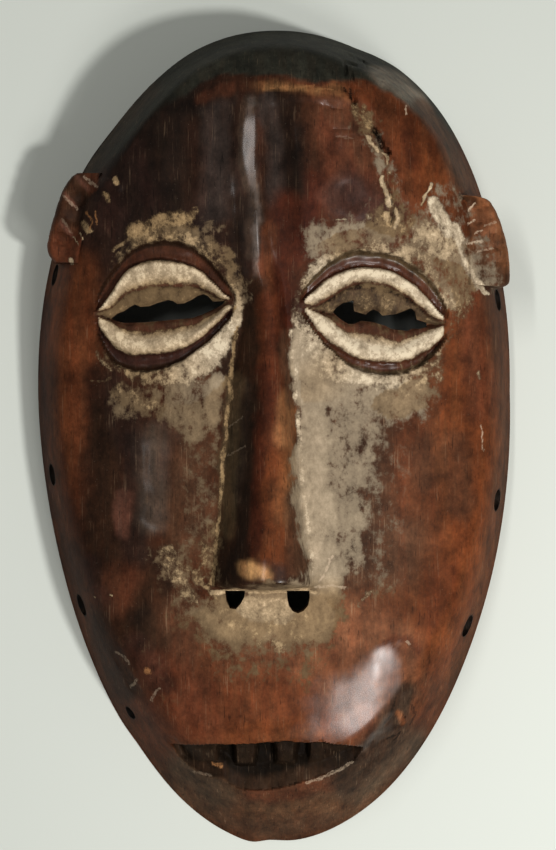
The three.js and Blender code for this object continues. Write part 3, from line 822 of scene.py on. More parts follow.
@dataclass(frozen=True)
class Patina:
    """Where the wood is sooty, red, worn or polished, where white clay still sticks, and where highlights,
    sheen and shade are painted into its colour.
    """

    grounds: tuple[Daub, ...] = colour_daubs(  # the broad colours under all others
        (Tone.DARK_PLUM, 34, 1, -38, 112, -34, 78), (Tone.DARK_RED, 12, 1, -4, 112, -4, 62, -2, 36),
        (Tone.RED_BROWN, 20, 1, 24, 104, 30, 76), (Tone.RUSSET, 13, 1, 48, 100, 60, 70, 64, 40),
        (Tone.ORANGE_BROWN, 9, 1, -70, 50, -72, 10, -66, -30), (Tone.DARK_RED, 12, 0.9, -52, 22, -52, -40),
        (Tone.AMBER, 20, 0.9, 66, 20, 62, -30, 54, -62), (Tone.UMBER, 15, 0.9, 32, 14, 34, -36),
        (Tone.RUSSET, 22, 1, -20, -84, 24, -84), (Tone.RED_BROWN, 13, 0.9, -44, -60, -34, -84),
    )
    forehead: tuple[Daub, ...] = colour_daubs(
        (Tone.RED_BROWN, 9, 0.7, 19, 101, 18.6, 84), (Tone.UMBER, 4, 0.5, 20, 108, 28, 100, 29, 92),
        (Tone.SOOT_BROWN, 4, 0.7, 10, 109, 10.5, 84), (Tone.OXBLOOD, 4.2, 0.75, 12, 84, 12, 70),
        (Tone.OXBLOOD, 2.6, 0.7, 44.9, 103.8, 45.9, 90.3), (Tone.AMBER, 4.5, 0.7, 50, 102, 52, 84),
        (Tone.PLUM, 5.6, 0.85, 24, 80, 36, 72.1), (Tone.PLUM_RED, 4.3, 0.7, 10, 80, 9, 62),
        # The faint pink patch at (17, 79) is a painted sheen on polished facets.
        (Tone.ROSE, 2.6, 0.3, 17, 79, 20.5, 83), (Tone.SOOT, 5, 0.95, 2.4, 109.4, 4.4, 80),
        # The slate-grey daub in the channel right of the ridge is partly a painted sheen.
        (Tone.SLATE, 2.4, 0.8, -1.9, 108.4, -1.3, 76), (Tone.OXBLOOD, 5, 0.9, 3, 74, 1, 35.1),
        (Tone.RUSSET, 2.4, 0.8, -2.6, 66, -3.4, 50, -2.9, 25.2), (Tone.SOOT, 9, 0.8, -44, 99.5, -32, 105),
        (Tone.PLUM, 3, 0.45, -44, 92, -42, 78), (Tone.SOOT, 5.5, 0.7, -34, 94, -31, 80),
        # The slate-grey daub down the left flute is partly a painted sheen.
        (Tone.SLATE, 5, 0.85, -17, 107.4, -17.6, 82, -19.4, 76),
        (Tone.DARK_RED, 3, 0.3, -26, 100, -26.7, 76), (Tone.PLUM, 4, 0.5, -57, 86, -54, 70),
        (Tone.SOOT, 2.6, 0.8, -12.4, 76, -12, 55),
        # The greyish plum and light grey daubs down the ridge's left side are painted sheen and highlight
        # over worn wood.
        (Tone.PLUM_GREY, 1.8, 0.7, -6.8, 108, -8.6, 98, -9, 88, -7.4, 78, -7, 60),
        (Tone.GREY_WORN, 0.7, 0.6, -6.4, 108, -7.4, 98, -7.6, 88, -6.8, 76, -6.2, 60, -5.4, 52),
        (Tone.GOLD_WORN, 1.5, 0.6, -5.2, 112.6, 2, 113.4, 23.5, 113.8),
        (Tone.HONEY, 0.8, 0.3, -2, 112, 6, 113, 16, 114.4), (Tone.GOLD_WORN, 1.4, 0.6, 20, 114.8, 25, 110),
        (Tone.DARK_RED, 3, 0.7, -22.7, 112, -8, 113), (Tone.RED_BROWN, 1.6, 0.5, -24, 111, -14, 112),
        (Tone.ORANGE_BROWN, 4, 0.8, 27, 114.3, 44, 108, 54, 99),
    )
    nose: tuple[Daub, ...] = colour_daubs(
        # The dark daubs down the nose's left flank are painted shade; the greyish one mid-flank is a painted
        # sheen.
        (Tone.SOOT_BROWN, 4.4, 0.95, -12, 33, -13, 0, -13.6, -44),
        (Tone.SOOT_BROWN, 3.4, 0.9, -7.2, 50, -8.6, 18, -9.2, -30),
        (Tone.PLUM_GREY, 2.6, 0.6, -11.4, 16, -12, -8, -13.6, -20),
        (Tone.RED, 2.6, 1, -1.6, 44, -1.4, 10, -2.2, -28),
        (Tone.OLIVE, 2.6, 0.8, -12.8, 18, -14, -2, -16, -30),
        (Tone.SOOT, 2.4, 0.6, -8.2, 12, -9.4, -28, -10.2, -42),
        (Tone.OXBLOOD, 1.8, 0.75, -3.9, 20, -4.2, -10, -5.4, -36),
        (Tone.HONEY_BROWN, 2.6, 0.9, 3.6, 12, 4.6, -10, 3.5, -26), (Tone.AMBER, 3, 0.7, 1.2, -8, 0.6, -38),
        (Tone.UMBER, 3, 0.85, 7.6, -20, 8.6, -34, 9.4, -46), (Tone.UMBER, 2, 0.7, 4.6, 34, 6.4, 12),
        # Painted shade along the nose's lower end, and a painted highlight on its tip.
        (Tone.SOOT_BROWN, 2, 0.7, -12, -47, 12, -47.4),
        (Tone.BRIGHT, 2.2, 1, -6.8, -42.2, -4.6, -43, -2.4, -43.2),
    )
    left_cheek: tuple[Daub, ...] = colour_daubs(
        (Tone.RUSSET, 6.4, 0.85, -67, 53.3, -65, 30.2), (Tone.RUSSET, 4.3, 0.6, -68, 34, -68, -4),
        (Tone.SOOT_BROWN, 4.6, 0.9, -56, 6, -57, -24, -55, -44),
        (Tone.DARK_PLUM, 4, 0.85, -47, -2, -45.4, -38), (Tone.ROSE, 2.2, 0.6, -50, -20, -49.4, -32),
        # The greyish plum daub down the middle of the left cheek is a painted sheen.
        (Tone.PLUM_GREY, 5, 0.9, -40, 0, -38.6, -26), (Tone.PLUM, 3.4, 0.6, -33, 4, -33, -14),
        (Tone.UMBER, 6, 0.8, -28, 2, -27, -34), (Tone.DARK_PLUM, 4.6, 0.7, -53.4, 15, -48.1, 0),
        (Tone.PLUM, 3, 0.6, -60, -44, -56, -56), (Tone.SOOT_BROWN, 3.6, 0.6, -53, -46, -49, -57),
        (Tone.RED_BROWN, 3.4, 0.4, -51.4, -46, -44, -66), (Tone.SOOT_BROWN, 5.2, 0.85, -57.4, -62, -50, -84),
        (Tone.SOOT_BROWN, 5.2, 0.9, -46, -64, -34.9, -42), (Tone.SOOT, 3.6, 0.85, -42, -58, -38, -66),
        (Tone.PLUM, 4, 0.5, -46, -68, -38, -80),
    )
    lower_face: tuple[Daub, ...] = colour_daubs(
        (Tone.UMBER, 7.6, 0.7, -32, -62, -14, -70), (Tone.ROSE_BROWN, 5, 0.45, -6, -72, 14, -73),
        (Tone.RUSSET, 5, 0.5, -20, -74, -4, -80), (Tone.AMBER, 3.4, 0.8, -14, -98.6, 22, -97.6),
        (Tone.ORANGE, 1.2, 0.4, -6, -99.4, 16, -98.6), (Tone.RED_BROWN, 5, 0.5, -30, -94, -20, -98),
    )
    right_cheek: tuple[Daub, ...] = colour_daubs(
        (Tone.RUSSET, 6.6, 0.7, 46, 20, 46, -20), (Tone.UMBER, 4.3, 0.6, 59.8, -4.5, 63.4, -21),
        (Tone.UMBER, 4, 0.5, 48.2, -4, 49.9, -12), (Tone.ORANGE, 3.4, 0.3, 57, 2, 56, -8),
        # The rose-brown daub from (24, -62) to (37.7, -68) is the wood's pink, partly lifted by a painted
        # sheen.
        (Tone.RED_BROWN, 5, 0.7, 66, 44, 69, 10), (Tone.ROSE_BROWN, 7.3, 0.7, 24, -62, 37.7, -68),
        (Tone.ROSE_BROWN, 8.6, 0.6, 26, -84, 40, -80.4),
        (Tone.RED_BROWN, 0.9, 0.8, 34.4, -68.5, 39.7, -65.6, 44, -67, 46.9, -70.1),
        (Tone.RED_BROWN, 1.4, 0.5, 39, -69, 43, -71), (Tone.RED, 4, 0.5, 58, -46, 52, -60),
    )
    chin: tuple[Daub, ...] = colour_daubs(
        (Tone.CHIN, 11.2, 0.95, -24, -117, 0, -126, 25.1, -120),
        (Tone.GREY_BROWN, 4.6, 0.7, -30, -110, -19.4, -120),
        (Tone.RED_BROWN, 2.6, 0.7, -8, -119.5, 6, -119.6, 21, -114.4),
        (Tone.UMBER, 3.4, 0.6, -14, -131, 14, -131),
        (Tone.HONEY_BROWN, 2.4, 0.15, -11.2, -127.2, 18.5, -125.2),
        (Tone.GREY_BROWN, 5.3, 0.85, 28.4, -117.3, 45.6, -106.8),
        (Tone.ROUGH_BREAK, 3.2, 1, 44.2, -85.5, 42.6, -93),
        (Tone.ROUGH_BREAK, 5.4, 0.95, 40, -96.5, 33, -106, 24, -115),
        (Tone.SOOT_BROWN, 1.4, 0.7, 44.6, -83, 41, -91, 38.6, -96),
        (Tone.SOOT_BROWN, 0.9, 0.7, 38, -98, 43, -97.4), (Tone.SOOT_BROWN, 1.2, 0.6, 31, -101, 24, -108),
        (Tone.ORANGE, 1, 0.6, 43, -92.4, 43.6, -96),
    )
    flanks: tuple[Daub, ...] = colour_daubs(
        (Tone.CAP_BROWN, 7, 0.8, -48, 116, -62, 96, -70, 78),
        # Painted highlight: the pale daub high on the cap's right-hand edge.
        (Tone.CAP_PALE, 4, 0.75, 36, 121, 42, 119, 48, 113.5),
        (Tone.UMBER, 3.4, 0.85, 50, 111, 58, 99, 64, 86),
        (Tone.FLANK, 4.8, 0.8, 70, 74, 77, 44, 79.6, 10, 79, -20),
        (Tone.FLANK, 4.4, 0.6, 79, -20, 73, -56, 62, -86), (Tone.PLUM, 3.2, 0.7, -79, 44, -81, 10, -79, -24),
    )
    ears: tuple[Daub, ...] = colour_daubs(
        (Tone.UMBER, 4, 0.8, -67, 84, -68, 74), (Tone.SOOT_BROWN, 6, 0.55, -68, 84, -70, 72),
        # The dark daub from (-64.4, 79.4) to (-60.6, 75) is painted shade in the left ear's hollow.
        (Tone.SOOT_BROWN, 2.6, 0.95, -64.4, 79.4, -60.6, 75), (Tone.RED_BROWN, 3, 0.8, -74, 64, -70, 61),
        (Tone.ROSE, 0.5, 0.8, -70, 81, -66, 76.6), (Tone.ROSE, 0.5, 0.8, -71, 71.4, -67, 66.4),
        # Painted shade: the near-black daubs in the right ear's hollow and along its lower edge.
        (Tone.ROSE, 0.6, 0.7, -66, 87, -61.6, 82), (Tone.SOOT, 2.4, 1, 60.4, 77.6, 61.8, 74, 63.6, 68.4),
        (Tone.SOOT_BROWN, 1.4, 0.8, 62, 78.4, 66.4, 78), (Tone.SOOT_BROWN, 3.6, 0.8, 70, 53, 76, 51),
        (Tone.ROSE_BROWN, 3.6, 0.7, 68, 72, 71, 64), (Tone.UMBER, 3.2, 0.6, 68, 60, 72, 56),
    )
    crust: tuple[Daub, ...] = clay(
        (2.2, 0.62, 0.25, -46.4, 67, -40.2, 70, -34, 71.4, -28, 71),
        (0.5, 0.5, 0.3, -26.4, 74, -24.6, 74.4, -24.8, 72.4),
        (0.7, 0.55, 0.3, -52.4, 60.8, -49, 63.6, -46.6, 65.2),
        (0.7, 0.5, 0.4, -58.4, 28, -56, 24.4, -53.4, 22.2),
        (0.5, 0.45, 0.3, -60.4, 19, -56, 18.6, -54, 19.6), (2.2, 0.5, 0.35, -50, 15.6, -46, 12, -40, 10),
        (0.8, 0.6, 0.2, -12, 42, -13.4, 26, -14.4, 14, -16, -2, -18.6, -34, -19.9, -48),
        (0.8, 0.85, 0.45, -19.8, -50.8, -9.5, -50.4, 8.6, -50.4, 14, -50.6),
        (4.2, 0.72, 0.5, -8, -56, 3.4, -56.6), (5.6, 0.5, 0.35, -14, -60, -2, -63, 9, -61),
        (2.2, 0.55, 0.4, -1, -66, 2, -69), (0.9, 0.56, 0.35, -35.4, -39.4, -31.6, -41.6, -28, -43.2),
        (0.9, 0.56, 0.3, -26, -44, -22.7, -47.6, -18.1, -53.4),
        (3.2, 0.52, 0.4, -35, -38.6, -32, -45, -27, -52), (2.4, 0.48, 0.3, -24, -46, -21, -34),
        (0.7, 0.5, 0.5, 27.5, -55.3, 31.7, -51.3),
        (0.9, 0.62, 0.85, 6.4, 34, 7, 20, 8.2, 2, 10.4, -20, 13.2, -44),
        (2.8, 0.5, 0.2, 27.5, 106.5, 30.5, 103), (0.7, 0.78, 0.5, 30.9, 97.6, 31.7, 95.1, 33.7, 93),
        (0.6, 0.78, 0.5, 35.6, 92.4, 36.9, 91.4, 36.9, 89.1), (0.4, 0.78, 0.5, 37.4, 86.2, 37.6, 85.6),
        (0.75, 0.8, 0.55, 35.6, 84, 36.1, 81.7, 37.4, 78.9, 38.1, 75.8),
        (0.6, 0.75, 0.4, 37.6, 73.6, 37.2, 71.2), (0.75, 0.8, 0.5, 40, 74.3, 40.7, 71.9, 40, 69.1),
        (1.6, 0.45, 0.2, 36.4, 82, 39.6, 74), (0.5, 0.85, 0.6, 52.2, 83.3, 49.8, 78.4),
        (0.4, 0.8, 0.4, 49.4, 79.6, 48.4, 76), (2.3, 0.68, 0.8, 53.4, 76.4, 55.6, 71, 57.4, 67),
        (2, 0.7, 0.85, 59, 68.6, 61.4, 66), (1, 0.72, 0.75, 60.4, 64.6, 63, 59, 66.4, 53.6, 70.4, 48.4),
        (0.9, 0.85, 0.95, 70.8, 48.6, 71.6, 48.4), (4.4, 0.64, 0.55, 49, 67, 57, 62),
        (5, 0.47, 0.35, 55, 56, 62, 44), (3.2, 0.5, 0.3, 36, 70.4, 46, 68.4),
        (0.6, 0.7, 0.7, 20, 70, 23, 70.4), (0.5, 0.6, 0.7, 31, 71.6, 32, 71), (5, 0.5, 0.45, 40, 16, 52, 22),
        (0.35, 0.9, 0.5, -59.1, -53, -58.9, -53.4), (0.35, 0.9, 0.5, -53.4, -53.5, -53.1, -53.4),
        (1, 0.8, 0.3, -52.6, 85, -51.6, 83), (0.9, 0.6, 0.2, -56, 80, -55, 77),
        (0.8, 0.55, 0.5, 68, 21.6, 68.6, 19.6), (1, 0.62, 0.3, -63.4, 70.6, -60.4, 67.6),
        (0.3, 0.75, 0.5, -63.6, 67.4, -62.4, 65), (0.3, 0.75, 0.5, -66.4, 66.4, -64, 63.4),
        (0.6, 0.7, 0.6, -67.8, 58.8, -67.2, 57.6),
    )
    wash: tuple[Daub, ...] = rubs(
        (3.4, 0.8, 8.6, 34, 9.2, 20, 10.6, 0, 12.2, -20, 14.8, -40), (4.6, 0.8, 14.4, 28.5, 16.8, -50.7),
        (6, 0.56, 20, 20, 23, -10, 22, -40), (6, 0.48, 28, 8, 29, -12), (8, 0.24, 34, -10, 32, -48),
        (7, 0.62, 20, 17, 32, 14, 46, 13), (3.6, 0.75, -18, 18, -20.4, 9), (3, 0.3, -20, 2, -21, -22),
        (3, 0.42, -20.6, -30, -22, -42), (5, 0.26, -23, 12, -24, 0, -25, -34), (6.9, 0.55, -30, 12, -26, 6),
        (4.3, 0.45, -48, 13, -34.3, 10), (3.4, 0.5, -46, 67, -27, 71), (2.4, 0.5, -22, 68, -14, 58, -11, 44),
        (8, 0.75, -15.4, -58.2, 13.5, -58.2), (7, 0.4, -18, -66, 13.5, -67), (6.6, 0.3, -12, -73, 10, -76),
        (6.6, 0.4, -34, -42, -28, -56), (5, 0.55, 16, 64, 30, 67, 45.6, 66.2, 60.4, 45),
        (5.5, 0.6, 50, 68, 58, 62, 64, 52), (3, 0.4, 30, 104, 36, 92, 40, 72), (4, 0.35, 56, 80, 60, 72),
        (5, 0.35, 68, 62, 72, 54), (6, 0.14, -45, -70, -38, -84), (14, 0.12, -10, -118, 20, -118),
    )
    polish: tuple[Daub, ...] = rubs(
        (2.8, 1, -7.5, 108, -7.6, 66, -6.4, 54), (3.2, 0.6, 37, -76, 38, -84, 34, -92),
        (4.2, 1, 13, -97, 24, -96.4, 33, -92), (7, 0.8, 20, -90, 32, -84), (4, 0.45, -40, 0, -40, -26),
        (6, 0.6, 18, 99, 24, 80), (2.6, 0.8, -7, -43, 0, -45),
    )
    dry: tuple[Daub, ...] = rubs(
        (2.2, 0.8, -5.2, 113, 23.5, 113.4), (5, 0.6, 43.7, -86.3, 38.7, -98.8, 27.4, -112.7),
        (12, 0.3, -26, -120, 25.1, -125),
    )
    cap_edge: Rows = (
        (-66, 84), (-60.7, 88), (-54, 91), (-48.8, 94.4), (-43.5, 100), (-38.5, 106), (-33, 110.8),
        (-28, 114), (-23.7, 116.2), (-14, 117), (-7.9, 117.2), (8.6, 117), (23.5, 116.8), (32.7, 115.6),
        (39, 113.2), (44.3, 110.6), (49.6, 105.8), (53.9, 101.5), (58.1, 95.2), (61.8, 87.3), (65.4, 79.4),
    )
    colour_wander: Rows = ((2.4, 15, 31), (1.0, 4.5, 33))  # how far, over what width, pattern
    clay_wander: Rows = ((0.9, 9, 21), (0.7, 3.2, 23))
    wash_wander: Rows = ((3.4, 13, 25), (1.8, 4.2, 27), (0.8, 1.8, 29))

    @staticmethod
    def astray(wander: Rows, x: Values, y: Values) -> tuple[Values, Values]:
        """Shift places about, so that the marks read there get uneven edges.

        Args:
            wander: how far, over what width, and which pattern.
            x, y: places across and up.

        Returns:
            The shifted places.
        """
        shifted_x, shifted_y = x, y
        for strength, size, seed in wander:
            noise = SoftNoise(int(seed))
            shifted_x = shifted_x + strength * noise.at(x, y, size, 3)
            shifted_y = shifted_y + strength * noise.at(y + 50, x, size, 3)
        return shifted_x, shifted_y

    def cap_share(self, x: Values, y: Values) -> Values:
        """Find the dull cap above the forehead, whose edge is soft on the left: 1 on it."""
        soft = 0.7 + 3.4 * smoothstep(-24, -44, x)
        return smoothstep(-1, 1, (y - along(self.cap_edge, x)) / soft) * smoothstep(66, 60, np.abs(x))


@dataclass(frozen=True)
class EarCarving:
    """A small flat ear standing out of the flank, with slanting cuts across its front."""

    name: str
    rows: Rows  # inner x, inner y, outer x, outer y, depth of the hollow in the front
    front_inner: float
    front_outer: float
    tone: Tone
    under_z: float = 15.0
    root_depth: float = 3.4
    zone: Rows = ((58, 49), (math.inf, 89))  # its least and greatest distance from the middle, and y
    zone_floor: float = 14.5
    stand_out: float = 0.35  # how far over the flank it is taken for the ear
    notches: tuple[float, ...] = (2.6, 3.7, 4.8, 5.9, 7)
    notch_depth: float = 0.8
    notch_width: float = 0.17
    sides: int = 48
    rings: int = 41

    def section(self, form: MaskForm, row: Values) -> Values:
        """Give the corner points of one cross-section.

        Args:
            form: the shell that it stands on.
            row: inner x and y, outer x and y, depth of the hollow.

        Returns:
            Points round the section, one a row.
        """
        inner_x, inner_y, outer_x, outer_y, hollow = row
        side = 1 if outer_x > 0 else -1
        temple = abs(form.flank_x(side, inner_y, self.front_inner - 0.4))
        start = side * min(abs(inner_x), temple)

        def point(share: float, z: float) -> tuple[float, float, float]:
            """Place a point between the inner and the outer edge."""
            return start + (outer_x - start) * share, inner_y + (outer_y - inner_y) * share, z

        def front(share: float) -> float:
            """Give the height of the ear's front."""
            return self.front_inner + (self.front_outer - self.front_inner) * share

        root = form.flank_x(side, outer_y, self.under_z) - side * self.root_depth
        return np.array((
            (start - side * 1.5, inner_y, self.front_inner - 6),
            point(0, front(0)),
            point(0.2, front(0.2) - hollow * 0.8),
            point(0.42, front(0.42) - hollow),
            point(0.66, front(0.66) - hollow * 0.35),
            point(0.86, front(0.86)),
            point(0.97, front(1) - 1.6),
            point(1, front(1) - 5),
            point(0.97, self.under_z + 3),
            point(0.82, self.under_z),
            (root, outer_y, self.under_z),
        ))

    def surface(self, form: MaskForm) -> Values:
        """Loft the sections into a fine skin.

        Args:
            form: the shell that it stands on.

        Returns:
            Points by ring and side.
        """
        table = np.array(self.rows, float)
        corners = np.array([self.section(form, row) for row in table])
        places = np.linspace(0, len(table) - 1, self.rings)
        count = corners.shape[1]
        skin = np.zeros((self.rings, self.sides, 3))
        for axis in range(3):
            for k in range(self.sides):
                turn = count * k / self.sides
                i = int(turn)
                t = turn - i
                a, b, c, d = (corners[:, (i + step) % count, axis] for step in (-1, 0, 1, 2))
                bend = b + 0.5 * t * (c - a + t * (2 * a - 5 * b + 4 * c - d + t * (3 * (b - c) + d - a)))
                rows = tuple(zip(np.arange(len(table)), bend))
                skin[:, k, axis] = along(rows, places)
        return skin

    def cut_notches(self, skin: Values) -> None:
        """Sink the slanting cuts into the front.

        Args:
            skin: points by ring and side, changed in place.
        """
        places = np.linspace(0, len(self.rows) - 1, self.rings)[:, None]
        table = np.array(self.rows, float)
        inner = along(tuple(zip(np.arange(len(table)), np.abs(table[:, 0]))), places)
        outer = along(tuple(zip(np.arange(len(table)), np.abs(table[:, 2]))), places)
        across = (np.abs(skin[..., 0]) - inner) / (outer - inner)
        on_front = smoothstep(self.front_outer - 6, self.front_outer - 3, skin[..., 2])
        reach = smoothstep(0.3, 0.5, across) * on_front
        for notch in self.notches:
            line = notch + (across - 0.8) * 0.9
            skin[..., 2] -= self.notch_depth * reach * np.exp(-(((places - line) / self.notch_width) ** 2))

    def build(self, form: MaskForm) -> Piece:
        """Shape a sphere's rings into the ear.

        Args:
            form: the shell that it stands on.

        Returns:
            A closed solid.
        """
        bpy.ops.mesh.primitive_uv_sphere_add(segments=self.sides, ring_count=self.rings + 1, radius=1)
        ear = bpy.context.active_object
        ball = read_points(ear)
        skin = self.surface(form)
        self.cut_notches(skin)
        ring = np.rint(np.arccos(np.clip(ball[:, 2], -1, 1)) / math.pi * (self.rings + 1)).astype(int) - 1
        side = np.rint(np.arctan2(ball[:, 1], ball[:, 0]) / math.tau * self.sides).astype(int) % self.sides
        points = skin[np.clip(ring, 0, self.rings - 1), side]
        points[ring < 0] = skin[0].mean(axis=0)
        points[ring >= self.rings] = skin[-1].mean(axis=0)
        write_points(ear, points)
        face_outwards(ear)
        return ear

    def paint(
        self, coat: Coat, daubs: tuple[Daub, ...], points: Values, outer: Values, share: Values
    ) -> Values:
        """Colour the ear.

        Args:
            coat: what lies on the mask, changed in place.
            daubs: the marks on the ears.
            points: the mask's vertices, one a row.
            outer: height of the flank at each.
            share: how far out each lies, 1 on the outline.

        Returns:
            Which vertices lie on the ear.
        """
        x, y, z = points.T
        (inner, low), (outermost, high) = self.zone
        out = np.sign(self.rows[0][0]) * x
        on_ear = (out > inner) & (out < outermost) & (y > low) & (y < high) & (z > self.zone_floor)
        on_ear &= (z > outer + self.stand_out) | (share > 1)
        coat.lay(self.tone, on_ear.astype(float))
        for daub in daubs:
            coat.lay(daub.tone, daub.share(x, y) * on_ear)
        return on_ear


def read_points(piece: Piece) -> Values:
    """Read a mesh's points as they are stored.

    Args:
        piece: the object.

    Returns:
        One row a vertex.
    """
    flat = np.zeros(len(piece.data.vertices) * 3, np.float32)
    piece.data.vertices.foreach_get("co", flat)
    return flat.reshape(-1, 3).astype(float)


def write_points(piece: Piece, points: Values) -> None:
    """Write a mesh's points, given in millimetres, one row a vertex."""
    piece.data.vertices.foreach_set("co", (points * MM).astype(np.float32).ravel())
    piece.data.update()


def start_afresh() -> None:
    """Deselect everything before the next primitive."""
    bpy.ops.object.select_all(action="DESELECT")


def only(piece: Piece) -> None:
    """Select one object and make it active."""
    start_afresh()
    piece.select_set(True)
    bpy.context.view_layer.objects.active = piece


def face_outwards(piece: Piece) -> None:
    """Turn all faces of a closed shell outwards.

    Args:
        piece: the shell.
    """
    only(piece)
    bpy.ops.object.mode_set(mode="EDIT")
    bpy.ops.mesh.select_all(action="SELECT")
    bpy.ops.mesh.normals_make_consistent(inside=False)
    bpy.ops.object.mode_set(mode="OBJECT")


def close_below(piece: Piece, edge: Values, drop: float) -> None:
    """Draw an open sheet's edge down and close it with one flat face.

    Args:
        piece: the sheet.
        edge: which of its vertices lie on the edge.
        drop: how far the edge is drawn down, in millimetres.
    """
    only(piece)
    mesh = piece.data
    mesh.polygons.foreach_set("select", np.zeros(len(mesh.polygons), bool))
    mesh.edges.foreach_set("select", np.zeros(len(mesh.edges), bool))
    mesh.vertices.foreach_set("select", edge)
    bpy.ops.object.mode_set(mode="EDIT")
    bpy.ops.mesh.select_mode(type="VERT")
    bpy.ops.mesh.extrude_edges_move(TRANSFORM_OT_translate={"value": (0, 0, -drop * MM)})
    bpy.ops.mesh.edge_face_add()
    bpy.ops.object.mode_set(mode="OBJECT")
    face_outwards(piece)


def prism(path: Path, low: float, high: float) -> Piece:
    """Make a straight cutter over an outline.

    Args:
        path: corners of the outline, in millimetres.
        low: height of its lower end.
        high: height of its upper end.

    Returns:
        A closed solid.
    """
    start_afresh()
    bpy.ops.mesh.primitive_circle_add(vertices=len(path), radius=1, fill_type="NGON")
    cutter = bpy.context.active_object
    write_points(cutter, np.array([(x, y, low) for x, y in path]))
    bpy.ops.object.mode_set(mode="EDIT")
    bpy.ops.mesh.select_all(action="SELECT")
    bpy.ops.mesh.extrude_region_move(TRANSFORM_OT_translate={"value": (0, 0, (high - low) * MM)})
    bpy.ops.object.mode_set(mode="OBJECT")
    face_outwards(cutter)
    return cutter


class Join(Enum):
    """How two solids are put together."""

    CUT = "DIFFERENCE"
    ADD = "UNION"


def combine(body: Piece, other: Piece, how: Join) -> None:
    """Cut a solid out of another or join it on.

    Args:
        body: the solid that stays.
        other: the solid that is used up.
        how: cut or join.
    """
    only(body)
    bpy.ops.object.modifier_add(type="BOOLEAN")
    step = body.modifiers[-1]
    step.operation = how.value
    step.solver = "MANIFOLD"
    step.object = other
    bpy.ops.object.modifier_apply(modifier=step.name)
    bpy.data.objects.remove(other)


@dataclass(frozen=True)
class Pattern:
    """How the spots of a noise are spread over the wood."""

    size: float  # width of the largest
    detail: float  # how many finer octaves it has
    stretch: Colour = (1, 1, 1)  # small factors draw the spots out along that axis
    rough: float = 0.6  # how strong the finer octaves are
    turn: float = 0.0  # about Z, in radians


